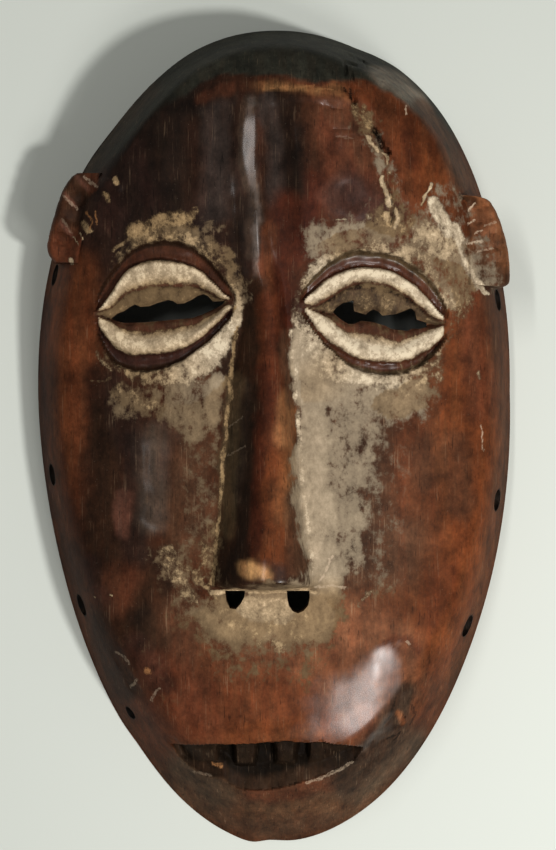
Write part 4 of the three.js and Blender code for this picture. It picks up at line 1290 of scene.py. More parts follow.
class NodeBench:
    """Lays out and links the nodes of one material."""

    def __init__(self, material: bpy.types.Material) -> None:
        """Start on a bare material.

        Args:
            material: the material to fill.
        """
        material.use_nodes = True
        self.tree = material.node_tree
        self.tree.nodes.clear()

    def node(self, kind: str, **settings: object) -> bpy.types.Node:
        """Add a node.

        Args:
            kind: Blender's name of the node type.
            settings: its properties.

        Returns:
            The node.
        """
        made = self.tree.nodes.new(kind)
        for name, value in settings.items():
            setattr(made, name, value)
        return made

    def feed(self, socket: Socket, value: object) -> None:
        """Link a socket to another, or set it.

        Args:
            socket: the input.
            value: an output socket, a number or a tuple.
        """
        if isinstance(value, Socket):
            self.tree.links.new(value, socket)
        elif isinstance(value, tuple) and len(value) == 3 and socket.type == "RGBA":
            socket.default_value = (*value, 1)
        else:
            socket.default_value = value

    def attribute(self, name: str, colour: bool = False) -> Socket:
        """Read an attribute of the mesh, a number or a colour."""
        return self.node("ShaderNodeAttribute", attribute_name=name).outputs["Color" if colour else "Fac"]

    def maths(self, operation: str, a: object, b: object = 0.0) -> Socket:
        """Combine two numbers.

        Args:
            operation: Blender's name of it.
            a: first number or socket.
            b: second number or socket.

        Returns:
            The output socket.
        """
        made = self.node("ShaderNodeMath", operation=operation)
        self.feed(made.inputs[0], a)
        self.feed(made.inputs[1], b)
        return made.outputs[0]

    def vector(
        self, operation: str, a: object, b: object = (0.0, 0.0, 0.0), scale: object = 1.0
    ) -> Socket:
        """Combine two vectors.

        Args:
            operation: Blender's name of it.
            a: first vector or socket.
            b: second vector or socket.
            scale: factor, where the operation takes one.

        Returns:
            The output socket that the operation fills.
        """
        made = self.node("ShaderNodeVectorMath", operation=operation)
        self.feed(made.inputs[0], a)
        if operation == "SCALE":
            self.feed(made.inputs[3], scale)
        elif operation != "LENGTH":
            self.feed(made.inputs[1], b)
        return made.outputs[1 if operation in ("DOT_PRODUCT", "LENGTH") else 0]

    def sum(self, *values: object) -> Socket:
        """Add numbers up.

        Args:
            values: numbers or sockets.

        Returns:
            The output socket.
        """
        total = values[0]
        for value in values[1:]:
            total = self.maths("ADD", total, value)
        return total

    def product(self, a: object, b: object) -> Socket:
        """Multiply two numbers."""
        return self.maths("MULTIPLY", a, b)

    def scaled(self, value: object, gain: float, shift: float) -> Socket:
        """Multiply a number and add to it."""
        return self.maths("ADD", self.maths("MULTIPLY", value, gain), shift)

    def swing(self, value: object, gain: float) -> Socket:
        """Let a pattern round 0.5 swing about 0."""
        return self.scaled(value, gain, -gain / 2)

    def remap(
        self, value: object, low: float, high: float, to_low: object, to_high: object, smooth: bool = False
    ) -> Socket:
        """Stretch a range of numbers over another.

        Args:
            value: the number.
            low: start of its range.
            high: end of its range.
            to_low: result at the start.
            to_high: result at the end.
            smooth: whether both ends are eased.

        Returns:
            The output socket.
        """
        made = self.node("ShaderNodeMapRange", interpolation_type="SMOOTHSTEP" if smooth else "LINEAR")
        names = ("Value", "From Min", "From Max", "To Min", "To Max")
        for name, given in zip(names, (value, low, high, to_low, to_high)):
            self.feed(made.inputs[name], given)
        return made.outputs["Result"]

    def mix(self, share: object, a: object, b: object, blend: str = "MIX") -> Socket:
        """Mix two colours.

        Args:
            share: how much of the second.
            a: first colour.
            b: second colour.
            blend: Blender's name of the way to mix.

        Returns:
            The output socket.
        """
        made = self.node("ShaderNodeMix", data_type="RGBA", blend_type=blend)
        self.feed(made.inputs[0], share)
        self.feed(made.inputs[6], a)
        self.feed(made.inputs[7], b)
        return made.outputs[2]

    def ramp(self, value: Socket, stops: Rows) -> Socket:
        """Turn a number into a colour.

        Args:
            value: the number, 0 to 1.
            stops: place and colour of each stop.

        Returns:
            The output socket.
        """
        made = self.node("ShaderNodeValToRGB")
        elements = made.color_ramp.elements
        while len(elements) < len(stops):
            elements.new(1)
        for element, (place, *colour) in zip(elements, stops):
            element.position = place
            element.color = (*colour, 1)
        self.feed(made.inputs[0], value)
        return made.outputs[0]

    def noise(self, place: Socket, pattern: Pattern) -> Socket:
        """Read noise in the object's own space.

        Args:
            place: object coordinates.
            pattern: how it is spread.

        Returns:
            A value round 0.5.
        """
        mapping = self.node("ShaderNodeMapping")
        mapping.inputs["Rotation"].default_value = (0, 0, pattern.turn)
        self.feed(mapping.inputs["Vector"], place)
        mapping.inputs["Scale"].default_value = pattern.stretch
        made = self.node("ShaderNodeTexNoise")
        self.feed(made.inputs["Vector"], mapping.outputs[0])
        made.inputs["Scale"].default_value = 1 / (pattern.size * MM)
        made.inputs["Detail"].default_value = pattern.detail
        made.inputs["Roughness"].default_value = pattern.rough
        return made.outputs["Fac"]


@dataclass(frozen=True)
class Stroke:
    """A thin line scratched, cracked or chipped into the surface, or a thin painted highlight."""

    width: float
    strength: float
    path: Path

    def share(self, bench: NodeBench, place: Socket) -> Socket:
        """Find how strongly it shows.

        Args:
            bench: the bench of the material.
            place: place in plan, in millimetres.

        Returns:
            The share.
        """
        nearest = None
        for start, end in zip(self.path, self.path[1:]):
            along_it = (end[0] - start[0], end[1] - start[1], 0.0)
            length = along_it[0] ** 2 + along_it[1] ** 2
            off = bench.vector("SUBTRACT", place, (*start, 0.0))
            way = bench.vector("DOT_PRODUCT", off, tuple(value / length for value in along_it))
            way = bench.maths("MINIMUM", bench.maths("MAXIMUM", way, 0), 1)
            foot = bench.vector("SCALE", along_it, scale=way)
            gap = bench.vector("LENGTH", bench.vector("SUBTRACT", off, foot))
            nearest = gap if nearest is None else bench.maths("MINIMUM", nearest, gap)
        steep = 1.5
        return bench.maths("MINIMUM", bench.scaled(nearest, -steep / self.width, steep), self.strength)


def strokes(*rows: tuple[float, ...]) -> tuple[Stroke, ...]:
    """Make strokes from rows of width, strength and points."""
    return tuple(Stroke(width, strength, path_of(numbers)) for width, strength, *numbers in rows)


@dataclass(frozen=True)
class AgedWoodFinish:
    """Old carved wood: its grain and mottling, scratches, dust washed thin over it, white clay, and a few
    painted highlights among the pale strokes.
    """

    grain: Pattern = Pattern(0.75, 3, (1, 0.045, 0.3))
    fleck: Pattern = Pattern(1.1, 6, (1, 0.8, 1), 0.75)
    mottle: Pattern = Pattern(5.5, 9, (1, 0.7, 1), 0.66)
    streak: Pattern = Pattern(2.6, 3, (1, 0.09, 0.4))
    flakes: Pattern = Pattern(3.2, 9, (1, 0.85, 1), 0.72)
    chips: Pattern = Pattern(1.7, 8, (1, 0.9, 1), 0.8, 1.1)
    specks: Pattern = Pattern(0.5, 2, rough=0.5)
    clouds: Pattern = Pattern(24, 5, rough=0.62)
    pores: Pattern = Pattern(0.6, 2, (1, 0.12, 0.3), 0.5, 0.05)
    upright: Pattern = Pattern(0.5, 1, (1, 0.04, 0.15), 0.4)
    slanting: Pattern = Pattern(0.5, 1, (1, 0.05, 0.15), 0.4, 0.9)
    wander: Pattern = Pattern(2.4, 4, rough=0.7)
    stroke_wander: float = 1.2  # how far that wanders the strokes off their lines
    fibre_swing: Span = (0.3, 0.7, -1, 1)
    cloud_gain: Span = (0.35, 0.65, 0.72, 1.28)
    pore_gain: Span = (0.28, 0.36, 0.55, 1)
    mottle_gain: Span = (0.3, 0.7, 0.52, 1.48)
    fleck_gain: Span = (0.34, 0.66, 0.82, 1.18)
    warm_share: Span = (0.42, 0.62, 0, 0.5)
    speck_share: Span = (0.70, 0.76, 0, 0.7)
    upright_share: Span = (0.66, 0.72, 0, 1)
    slanting_share: Span = (0.69, 0.75, 0, 0.8)
    scratched_share: Span = (0.42, 0.6, 0, 1)
    stroke_breaks: Span = (0.4, 0.52, 0.15, 1)
    film_cover: Span = (0.2, 0.56, 0, 0.94)
    film_edge: Span = (0.02, 0.25, 0, 1)
    crust_cover: Span = (0.3, 0.62, 0, 1)
    crust_edge: Span = (0.02, 0.14, 0, 1)
    clean_share: Span = (0.25, 0.75, 0, 1)
    bare_share: Span = (0, 0.7, 1, 0)
    polish_roughness: Span = (0, 0.4, 0.6, 0.34)
    clay_roughness: float = 0.8
    wash_level: float = 0.72  # how white rubbed clay is beside a crust
    whiteness: tuple[float, ...] = (0.4, 0.7, 0.6, 0.45)  # sway of cleanness, mottling, chips and flakes
    warm: Colour = (1.1, 0.9, 0.82)
    clay_stops: Rows = (  # how white it is, colour
        (0.1, 0.12, 0.091, 0.062), (0.36, 0.21, 0.165, 0.115), (0.62, 0.35, 0.28, 0.195),
        (0.86, 0.52, 0.42, 0.30), (1.0, 0.72, 0.61, 0.45),
    )
    stained: Colour = (1.0, 0.86, 0.66)
    scratch: Colour = (0.42, 0.29, 0.18)
    speck: Colour = (0.46, 0.38, 0.28)
    pale: Colour = (0.56, 0.44, 0.32)
    crack: Colour = (0.012, 0.007, 0.004)
    chip: Colour = (0.40, 0.20, 0.085)
    # Most are pale scratches and marks; the short one on the scar at (44, -68), the line along the lower lip
    # and the faint streak at (21, 98) are painted highlights.
    pale_marks_and_highlights: tuple[Stroke, ...] = strokes(
        (0.55, 0.35, -52.7, -72, -49.7, -73.1, -48.1, -75.3), (0.5, 0.4, -45.6, -80.8, -47.9, -84.1),
        (0.5, 0.35, -37.8, -83.2, -38.9, -84.3, -40.6, -87.6), (0.5, 0.9, 64.6, 70.3, 66.9, 72.2),
        (0.5, 0.9, 64.8, 75.5, 67.2, 77.5), (0.45, 0.8, 66.9, 67.8, 69.3, 68.5),
        (0.55, 0.9, 63.9, 64.1, 69.3, 65), (0.4, 0.45, 70.3, 70.2, 73.9, 71.4),
        (0.35, 0.4, 67.6, 61.4, 73, 62.6), (0.6, 0.45, -63.1, 86.3, -58.5, 82.6),
        (0.45, 0.35, -70.1, 80.3, -65.8, 76), (0.45, 0.2, -70.5, 72.3, -67.1, 68),
        (0.5, 0.5, 13.6, -49.6, 19.3, -48.8, 23.6, -49.6), (0.45, 0.7, 15, -47.5, 17.6, -43, 19.3, -39),
        (0.3, 0.2, -15.1, -6.1, -9.6, -3.1), (0.3, 0.2, -14.6, 3.2, -10, 6.4),
        (0.7, 0.5, 11.1, -115.2, 14.8, -114.2, 18, -112.7, 22.3, -110.9, 26.1, -108.5),
        (0.5, 0.25, -27, -112.6, -21, -113.6), (0.35, 0.6, 43.4, 108.8, 43.4, 105.7),
        (0.4, 0.15, 20.7, 97.7, 25.6, 97), (0.5, 0.5, 44, -67.6, 44.8, -68.6),
        (0.35, 0.6, 69.4, 3.5, 70, -4.5),
    )
    dark_strokes: tuple[Stroke, ...] = strokes(
        (1, 1, 32.6, 100.2, 34.1, 97.9, 34.9, 95.9, 35.3, 94.6), (0.9, 1, 37, 93.8, 37.4, 92.8),
        (0.6, 0.9, 23, 113.8, 23.4, 112.6), (0.8, 0.9, 24.8, 113, 25.2, 110.2),
        (0.45, 0.8, 37.7, -101, 42.5, -99.4, 39.8, -102.6), (0.5, 0.7, 40.3, -86.5, 38.6, -92.5, 37, -95),
        (0.5, 0.6, 46, -89.5, 47.6, -93.6, 45.8, -97), (0.4, 0.6, 36.7, 83.5, 37.9, 80, 38.6, 76),
        (0.4, 0.6, 38.8, 74, 38.9, 71.4, 38.2, 69.4),
    )
    gold_strokes: tuple[Stroke, ...] = strokes(
        (0.9, 0.9, -20.4, -109.4, -17.4, -110), (0.5, 0.8, -62.4, 74.6, -60, 71.4, -60.8, 68.8),
        (0.45, 0.7, -58.8, 74.4, -58.4, 70), (1.3, 0.75, -41.9, -77.1, -41.5, -77.6),
        (0.45, 0.5, -1, 113.4, 5, 114), (0.45, 0.6, 7, 113.6, 13, 114.2), (0.4, 0.5, 14, 113, 19, 113.2),
    )
    specular: float = 0.1
    gloss: float = 0.9
    gloss_roughness: float = 0.26
    bump_distance: float = 0.0003
    bump_strength: float = 0.6

    def make(self) -> bpy.types.Material:
        """Build the node material.

        Returns:
            The material.
        """
        material = bpy.data.materials.new("patinated_wood")
        bench = NodeBench(material)
        place = bench.node("ShaderNodeTexCoord").outputs["Object"]
        marks = self.marks(bench, place)
        dry = bench.attribute("dry")
        grain, fleck, mottle, streak, flakes = (
            bench.noise(place, pattern)
            for pattern in (self.grain, self.fleck, self.mottle, self.streak, self.flakes)
        )

        wood = self.wood(bench, place, dry, (grain, fleck, mottle, streak))
        crust, wash = bench.attribute("crust"), bench.attribute("wash")
        scored = bench.mix(self.scratches(bench, place, mottle, wash), wood, self.scratch)
        specks = bench.remap(bench.noise(place, self.specks), *self.speck_share)
        scored = bench.mix(bench.product(specks, bench.scaled(wash, 0.8, 0.2)), scored, self.speck)

        chips = bench.noise(place, self.chips)
        veil = self.film(bench, wash, (mottle, streak, flakes))
        thick = bench.sum(crust, bench.swing(flakes, 1.2), bench.swing(chips, 0.5))
        stuck = bench.remap(thick, *self.crust_cover, True)
        sticks = bench.product(stuck, bench.remap(crust, *self.crust_edge))
        cover = bench.maths("MAXIMUM", veil, sticks)
        level = bench.maths("MAXIMUM", bench.product(wash, self.wash_level), bench.product(thick, sticks))
        clean = bench.attribute("clean")
        sways = zip((clean, mottle, chips, flakes), self.whiteness)
        white = bench.sum(level, *(bench.swing(value, gain) for value, gain in sways))
        stain = bench.mix(bench.remap(clean, *self.clean_share), self.stained, (1, 1, 1))
        clay = bench.mix(1.0, bench.ramp(white, self.clay_stops), stain, "MULTIPLY")
        colour = bench.mix(cover, scored, clay)
        broken = bench.product(bench.remap(fleck, *self.stroke_breaks), bench.attribute("faced"))
        for share, paint in marks:
            colour = bench.mix(bench.product(share, broken), colour, paint)

        shader = bench.node("ShaderNodeBsdfPrincipled")
        bench.feed(shader.inputs["Base Color"], colour)
        polish = bench.attribute("polish")
        smooth = bench.remap(polish, *self.polish_roughness)
        bare = bench.remap(cover, *self.bare_share)
        bench.feed(shader.inputs["Coat Weight"], bench.product(bench.product(polish, bare), self.gloss))
        shader.inputs["Coat Roughness"].default_value = self.gloss_roughness
        uneven = bench.sum(smooth, bench.swing(fleck, 0.3), bench.scaled(dry, 0.25, 0))
        bench.feed(shader.inputs["Roughness"], bench.remap(cover, 0, 1, uneven, self.clay_roughness))
        shader.inputs["Specular IOR Level"].default_value = self.specular

        fibres = bench.product(grain, bench.scaled(dry, 0.6, 0.15))
        relief = bench.sum(fibres, bench.scaled(fleck, 0.35, 0), bench.product(cover, level))
        bump = bench.node("ShaderNodeBump")
        bump.inputs["Strength"].default_value = self.bump_strength
        bump.inputs["Distance"].default_value = self.bump_distance
        bench.feed(bump.inputs["Height"], relief)
        bench.feed(shader.inputs["Normal"], bump.outputs[0])
        output = bench.node("ShaderNodeOutputMaterial")
        bench.feed(output.inputs["Surface"], shader.outputs[0])
        return material

    def marks(self, bench: NodeBench, place: Socket) -> list[tuple[Socket, Colour]]:
        """Find the drawn strokes.

        Args:
            bench: the bench of the material.
            place: object coordinates.

        Returns:
            The share of each sort and its colour.
        """
        wander = bench.noise(place, self.wander).node.outputs["Color"]
        reach = self.stroke_wander
        flat = bench.vector("MULTIPLY", place, (1 / MM, 1 / MM, 0))
        flat = bench.vector("ADD", flat, bench.vector("MULTIPLY", wander, (2 * reach, 2 * reach, 0)))
        flat = bench.vector("SUBTRACT", flat, (reach, reach, 0))
        found = []
        for drawn, paint in (
            (self.gold_strokes, self.chip), (self.pale_marks_and_highlights, self.pale), (self.dark_strokes, self.crack),
        ):
            most = 0.0
            for stroke in drawn:
                most = bench.maths("MAXIMUM", most, stroke.share(bench, flat))
            found.append((most, paint))
        return found

    def wood(self, bench: NodeBench, place: Socket, dry: Socket, patterns: tuple[Socket, ...]) -> Socket:
        """Vary the painted tone with clouds, grain, pores and mottling.

        Args:
            bench: the bench of the material.
            place: object coordinates.
            dry: how parched the wood is, which shows its grain.
            patterns: grain, flecks, mottling and streaks.

        Returns:
            The wood's colour.
        """
        grain, fleck, mottle, streak = patterns
        depth = bench.scaled(dry, 0.35, 0.06)
        fibres = bench.sum(1.0, bench.product(bench.remap(grain, *self.fibre_swing), depth))
        cloud = bench.remap(bench.noise(place, self.clouds), *self.cloud_gain)
        pores = bench.remap(bench.noise(place, self.pores), *self.pore_gain)
        gain = bench.product(bench.product(fibres, cloud), bench.remap(mottle, *self.mottle_gain))
        gain = bench.product(bench.product(gain, pores), bench.remap(fleck, *self.fleck_gain))
        tone = bench.attribute("tone", colour=True)
        warm = bench.mix(bench.remap(streak, *self.warm_share), tone, self.warm, "MULTIPLY")
        return bench.vector("SCALE", warm, scale=gain)

    def film(self, bench: NodeBench, wash: Socket, patterns: tuple[Socket, ...]) -> Socket:
        """Find how thickly dust and thin clay lie over the wood.

        Args:
            bench: the bench of the material.
            wash: how much of it was painted there.
            patterns: mottling, streaks and flakes.

        Returns:
            Its cover.
        """
        mottle, streak, flakes = patterns
        fine = bench.sum(bench.swing(streak, 0.5), bench.swing(flakes, 1.7))
        drift = bench.sum(wash, bench.swing(mottle, 1.0), fine)
        cover = bench.remap(drift, *self.film_cover, True)
        return bench.product(cover, bench.remap(wash, *self.film_edge))

    def scratches(self, bench: NodeBench, place: Socket, mottle: Socket, wash: Socket) -> Socket:
        """Find the fine pale scratches, most of them along the grain.

        Args:
            bench: the bench of the material.
            place: object coordinates.
            mottle: mottling, which thins them out.
            wash: where clay was rubbed into them.

        Returns:
            How strongly they show.
        """
        upright = bench.remap(bench.noise(place, self.upright), *self.upright_share)
        slanting = bench.remap(bench.noise(place, self.slanting), *self.slanting_share)
        lines = bench.maths("MAXIMUM", upright, slanting)
        lines = bench.product(lines, bench.remap(mottle, *self.scratched_share))
        return bench.product(lines, bench.scaled(wash, 0.9, 0.16))


@dataclass(frozen=True)
class Carving:
    """Everything that is carved into the outside, as one height over the plan."""

    form: MaskForm = MaskForm()
    nose: NoseCarving = NoseCarving()
    mouth: MouthCarving = MouthCarving()
    flutes: tuple[Flute, ...] = (
        Flute((
            (109.5, 1.5, 4, 0), (107, 1.6, 4.8, 1.1), (98, 1.8, 5.6, 1.4), (84, 2.4, 6.4, 1.5),
            (70, 4, 5.8, 1.0), (58, 6.6, 4, 0),
        )),
        Flute((
            (110.5, -17, 5, 0), (107.2, -17, 5.4, 0.8), (104, -17.2, 5.4, 0.9), (88, -18, 5.4, 0.9),
            (74, -20, 5.4, 0.7), (64, -22, 4, 0),
        )),
        Flute(((106, -28, 5, 0), (98, -28.5, 6, 0.5), (82, -31, 6.4, 0.5), (70, -34, 5, 0))),
        Flute(((110, 19.5, 8, 0), (107.8, 19.5, 8, 0.9), (98, 20, 9, 0.7), (84, 20, 9, 0.3), (74, 20, 9, 0))),
    )
    eyes: tuple[EyeCarving, ...] = (
        EyeCarving(
            "left",
            lines=(
                (-60.2, 39.8, 40.2, 40.3, 40.4, 40.5, 40.6, 40.6, 41),
                (-57.5, 31.6, 35.1, 39.2, 39.8, 40.3, 41.3, 42.9, 48.7),
                (-53.6, 24.2, 29.9, 37.7, 39, 39.8, 42.5, 47.9, 55),
                (-48.9, 21.5, 27, 34, 37.5, 42.1, 46.4, 54.7, 60),
                (-43.5, 20.7, 26.6, 32.7, 37.8, 42.9, 48.1, 57.3, 63.9),
                (-37.2, 21.2, 26.9, 32.9, 38.2, 44.4, 48.7, 58.1, 65.5),
                (-31, 23.5, 28, 34.1, 38.6, 43.8, 48.9, 57.4, 64.8),
                (-25.6, 27.3, 30.8, 35.5, 39.6, 46, 48.4, 55.3, 62.3),
                (-20.1, 31.6, 35.3, 39, 41.7, 44.7, 46.2, 51.2, 56.9),
                (-15.5, 36.7, 40, 42.5, 43.7, 44.2, 44.4, 46.4, 51.5),
                (-12, 42.4, 42.8, 43.3, 43.4, 43.5, 43.6, 43.9, 46.4),
            ),
            slit=(
                (-54, 39.2), (-52, 40.8), (-49.7, 41.6), (-47.7, 42.9), (-46, 43.7), (-44.2, 42.9),
                (-41.1, 43.1), (-38.4, 44.1), (-34.9, 45), (-33.4, 44.7), (-31.8, 43.7), (-29.5, 43.9),
                (-27.1, 45), (-25.2, 46.2), (-23.1, 46.8), (-21.7, 46.2), (-20, 44.4), (-15.8, 44.5),
                (-17, 43.3), (-20.1, 41.7), (-23.2, 40.3), (-27.1, 39), (-34.9, 38.4), (-42.7, 37.8),
                (-49.7, 37.7), (-52.4, 38.5),
            ),
            clean=0.5,
            ledge_clay=0.62,
            middle=(-36.4, 42.9),
            half=(24.1, 22.1),
            tilt=5.9,
            ring=(
                (0, 0.6, 0.5, 3.2), (20, 0.36, 0.3, 1.8), (40, 0.48, 0.3, 4.2), (60, 0.58, 0.4, 2.6),
                (80, 0.52, 0.3, 6.5), (100, 0.5, 0.3, 5.5), (120, 0.46, 0.35, 0.9), (140, 0.25, 0.3, 0.5),
                (160, 0.2, 0.3, 0.5), (180, 0.1, 0.3, 0.5), (200, 0.28, 0.3, 1.5), (220, 0.46, 0.3, 3.8),
                (240, 0.54, 0.35, 5.5), (260, 0.58, 0.4, 6.5), (280, 0.66, 0.6, 6.2), (300, 0.7, 0.7, 5.4),
                (320, 0.78, 0.85, 3.4), (340, 0.7, 0.7, 2.6), (360, 0.6, 0.5, 3.2),
            ),
            # The thin soot band from 4.8 to 5.02 is painted shade under the upper lid.
            bands=(
                (0, 0.5, Tone.SOOT_BROWN), (0.5, 1.1, Tone.GROOVE_PLUM), (1.9, 3.3, Tone.LID_INNER),
                (3.6, 4.8, Tone.LEDGE), (4.8, 5.02, Tone.SOOT), (5.02, 5.3, Tone.LID_INNER),
                (6, 6.62, Tone.GROOVE), (6.62, 7, Tone.SOOT_BROWN),
            ),
        ),
        EyeCarving(
            "right",
            lines=(
                (7.9, 42.1, 42.5, 42.7, 42.7, 42.8, 42.9, 43, 44.1),
                (10.6, 38.3, 39.8, 42.1, 42.4, 42.5, 42.9, 45.6, 50.2),
                (14.1, 33.3, 34.8, 40.3, 41.1, 41.3, 42.4, 48.8, 54.5),
                (18.8, 28, 30.2, 37.2, 39.9, 40.3, 45, 52.4, 58.4),
                (24.2, 22.8, 26.7, 32.9, 37.4, 44.4, 48.9, 54.8, 60.7),
                (28.9, 20.5, 25, 31.2, 38.2, 41.7, 50.1, 55.6, 61.5),
                (34.3, 19.4, 24.2, 29.8, 37.5, 41.6, 49.4, 55.4, 61.3),
                (39.8, 19.4, 24.2, 29.4, 35.3, 40.6, 48.3, 54, 59.8),
                (45.2, 21, 25.3, 31, 35.5, 41.7, 45, 50.8, 57.3),
                (50.7, 24.6, 28, 33.8, 36.3, 38.2, 40.3, 46.2, 53.4),
                (56.1, 30.8, 32.8, 36.3, 36.7, 37.1, 37.7, 40.2, 45.6),
                (58.5, 35.5, 36.1, 36.7, 36.9, 37, 37.1, 37.8, 38.6),
            ),
            slit=(
                (19.5, 41), (20.7, 42.5), (22.7, 43.9), (26.2, 44.8), (26.3, 42.9), (26.5, 41.3),
                (30.4, 40.2), (31.6, 41.3), (32.8, 41.9), (34.5, 41.3), (35.9, 39.9), (40.6, 40.5),
                (43.3, 41.6), (45.4, 42.4), (46.8, 41.3), (47.4, 38.8), (50.8, 37.8), (50.8, 36.4),
                (48.3, 35.7), (46, 35.8), (44.1, 35), (39, 35.5), (36.7, 36.7), (34.7, 37.2), (32.8, 37.8),
                (28.9, 38.2), (26.5, 37.2), (24.6, 37.1), (22.7, 38.2), (21.1, 39.4),
            ),
            clean=0.68,
            ledge_clay=0.42,
            middle=(33.1, 39.9),
            half=(25.4, 20.8),
            tilt=-6.4,
            ring=(
                (0, 0.38, 0.3, 4), (20, 0.52, 0.55, 4.5), (40, 0.5, 0.5, 5), (60, 0.54, 0.5, 8),
                (80, 0.6, 0.55, 6.5), (100, 0.56, 0.5, 4.5), (120, 0.46, 0.4, 4.2), (140, 0.62, 0.8, 3),
                (160, 0.5, 0.6, 2.4), (180, 0.45, 0.6, 2.2), (200, 0.6, 0.85, 2.6), (220, 0.6, 0.75, 8),
                (240, 0.6, 0.6, 9), (260, 0.7, 0.75, 5.2), (280, 0.7, 0.9, 5.5), (300, 0.58, 0.6, 4.5),
                (320, 0.48, 0.5, 2.2), (340, 0.42, 0.45, 3.5), (360, 0.38, 0.3, 4),
            ),
            # The thin soot band from 4.8 to 5.02 is painted shade under the upper lid.
            bands=(
                (0, 0.5, Tone.OLIVE), (0.5, 1.1, Tone.GROOVE), (1.9, 3.3, Tone.LID_INNER),
                (3.6, 4.8, Tone.LEDGE), (4.8, 5.02, Tone.SOOT), (5.02, 5.3, Tone.LID_INNER),
                (6, 6.5, Tone.GROOVE), (6.5, 7, Tone.OLIVE),
            ),
        ),
    )
    nicks: tuple[Nick, ...] = sunk(
        (0.5, 1, 0, 24.8, 129, 26.8, 126.9), (0.6, 1.2, 0, 28.4, 126.4, 34.7, 123.3),
        (0.5, 1.2, 0, 30.4, 126.2, 31.1, 122.3), (1, 1.8, 0.6, 23.3, 123.4, 27.2, 122.6),
        (0.7, 1.4, 0, 23.4, 122.2, 23.7, 118.3), (0.5, 1, 0, 25.8, 119, 26.1, 116.3),
        (0.7, 1.4, 0.6, 22.9, 113.7, 24.4, 112), (0.9, 1.8, 0.6, 25.2, 111.5, 26.3, 109.5),
        (2.6, 0.5, 0.4, 27.5, 108.6, 32.8, 102.8), (1.1, 2.4, 0.5, 32.6, 100.2, 34.1, 97.9, 35.3, 94.6),
        (1.3, 0.7, 0.5, 31, 98.5, 32.6, 94), (0.9, 2, 0, 37, 93.6, 37.5, 92.7),
        (0.6, 0.8, 0, 35.6, 93.8, 37, 90, 37.6, 86), (0.9, 0.7, 0.3, 36.6, 84, 38.2, 78, 38.8, 70),
        (3.2, 0.6, 0.5, 43.6, -86.5, 42.5, -93), (5.6, 0.7, 0.6, 40.5, -96, 33.5, -105, 26, -113),
        (0.9, 0.5, 0, 43.1, -92.6, 43.6, -95.8), (6, 0.4, 0, -37.6, -2, -37.6, -26),
        (6.5, 0.35, 0, 18.5, 98, 19, 95), (6, 0.4, 0, 24, 80, 26, 77),
        (2.6, 0.5, 0.3, -52.4, -72.4, -46.4, -84.3), (2, 0.7, 0.5, -33.9, -101.8, -29.3, -106.8),
        (0.7, 0.5, 0, 16, 107, 22.8, 106.8), (0.6, 0.4, 0, 19.3, 100.4, 25.5, 99.8),
        (0.6, 0.4, 0, 20, 97.6, 26, 97.2),
    )
    lumps: tuple[Nick, ...] = sunk(
        (3.4, 1.6, 0.5, -62, 85, -52.5, 82), (2.6, 0.7, 0.3, 6, 112, 27, 111),
    )
    marks: AdzeMarks = AdzeMarks(15, 32, 0.55, 5)
    waviness: float = 0.12
    clay_thickness: float = 0.12

    def plain_height(self, x: Values, y: Values) -> Values:
        """Find the height with nose, flutes and unevenness, before eyes and mouth are cut.

        Args:
            x, y: places across and up.

        Returns:
            Heights.
        """
        height = self.form.outside(x, y) + self.nose.lift(x, y)
        for flute in self.flutes:
            height = height - flute.dip(x, y)
        inner = smoothstep(1.0, 0.93, self.form.outward_share(x, y))
        return height - inner * (self.marks.dip(x, y) - self.waviness * SoftNoise(3).at(x, y, 11, 3))

    def height(self, x: Values, y: Values, crust: Values) -> Values:
        """Find the height of the finished outside.

        Args:
            x, y: places across and up.
            crust: how much clay sticks there.

        Returns:
            Heights.
        """
        noise = SoftNoise(11)
        height = self.plain_height(x, y)
        for eye in self.eyes:
            height = height - eye.depth(x, y)
        height = height - self.mouth.depth(x, y)
        for nick in self.nicks:
            height = height - nick.dip(x, y, noise)
        for lump in self.lumps:
            height = height + lump.dip(x, y, noise)
        flakes = smoothstep(-0.1, 0.25, crust - 0.5 + 0.5 * noise.at(x, y, 1.7, 2))
        return height + self.clay_thickness * flakes * smoothstep(0.05, 0.3, crust)


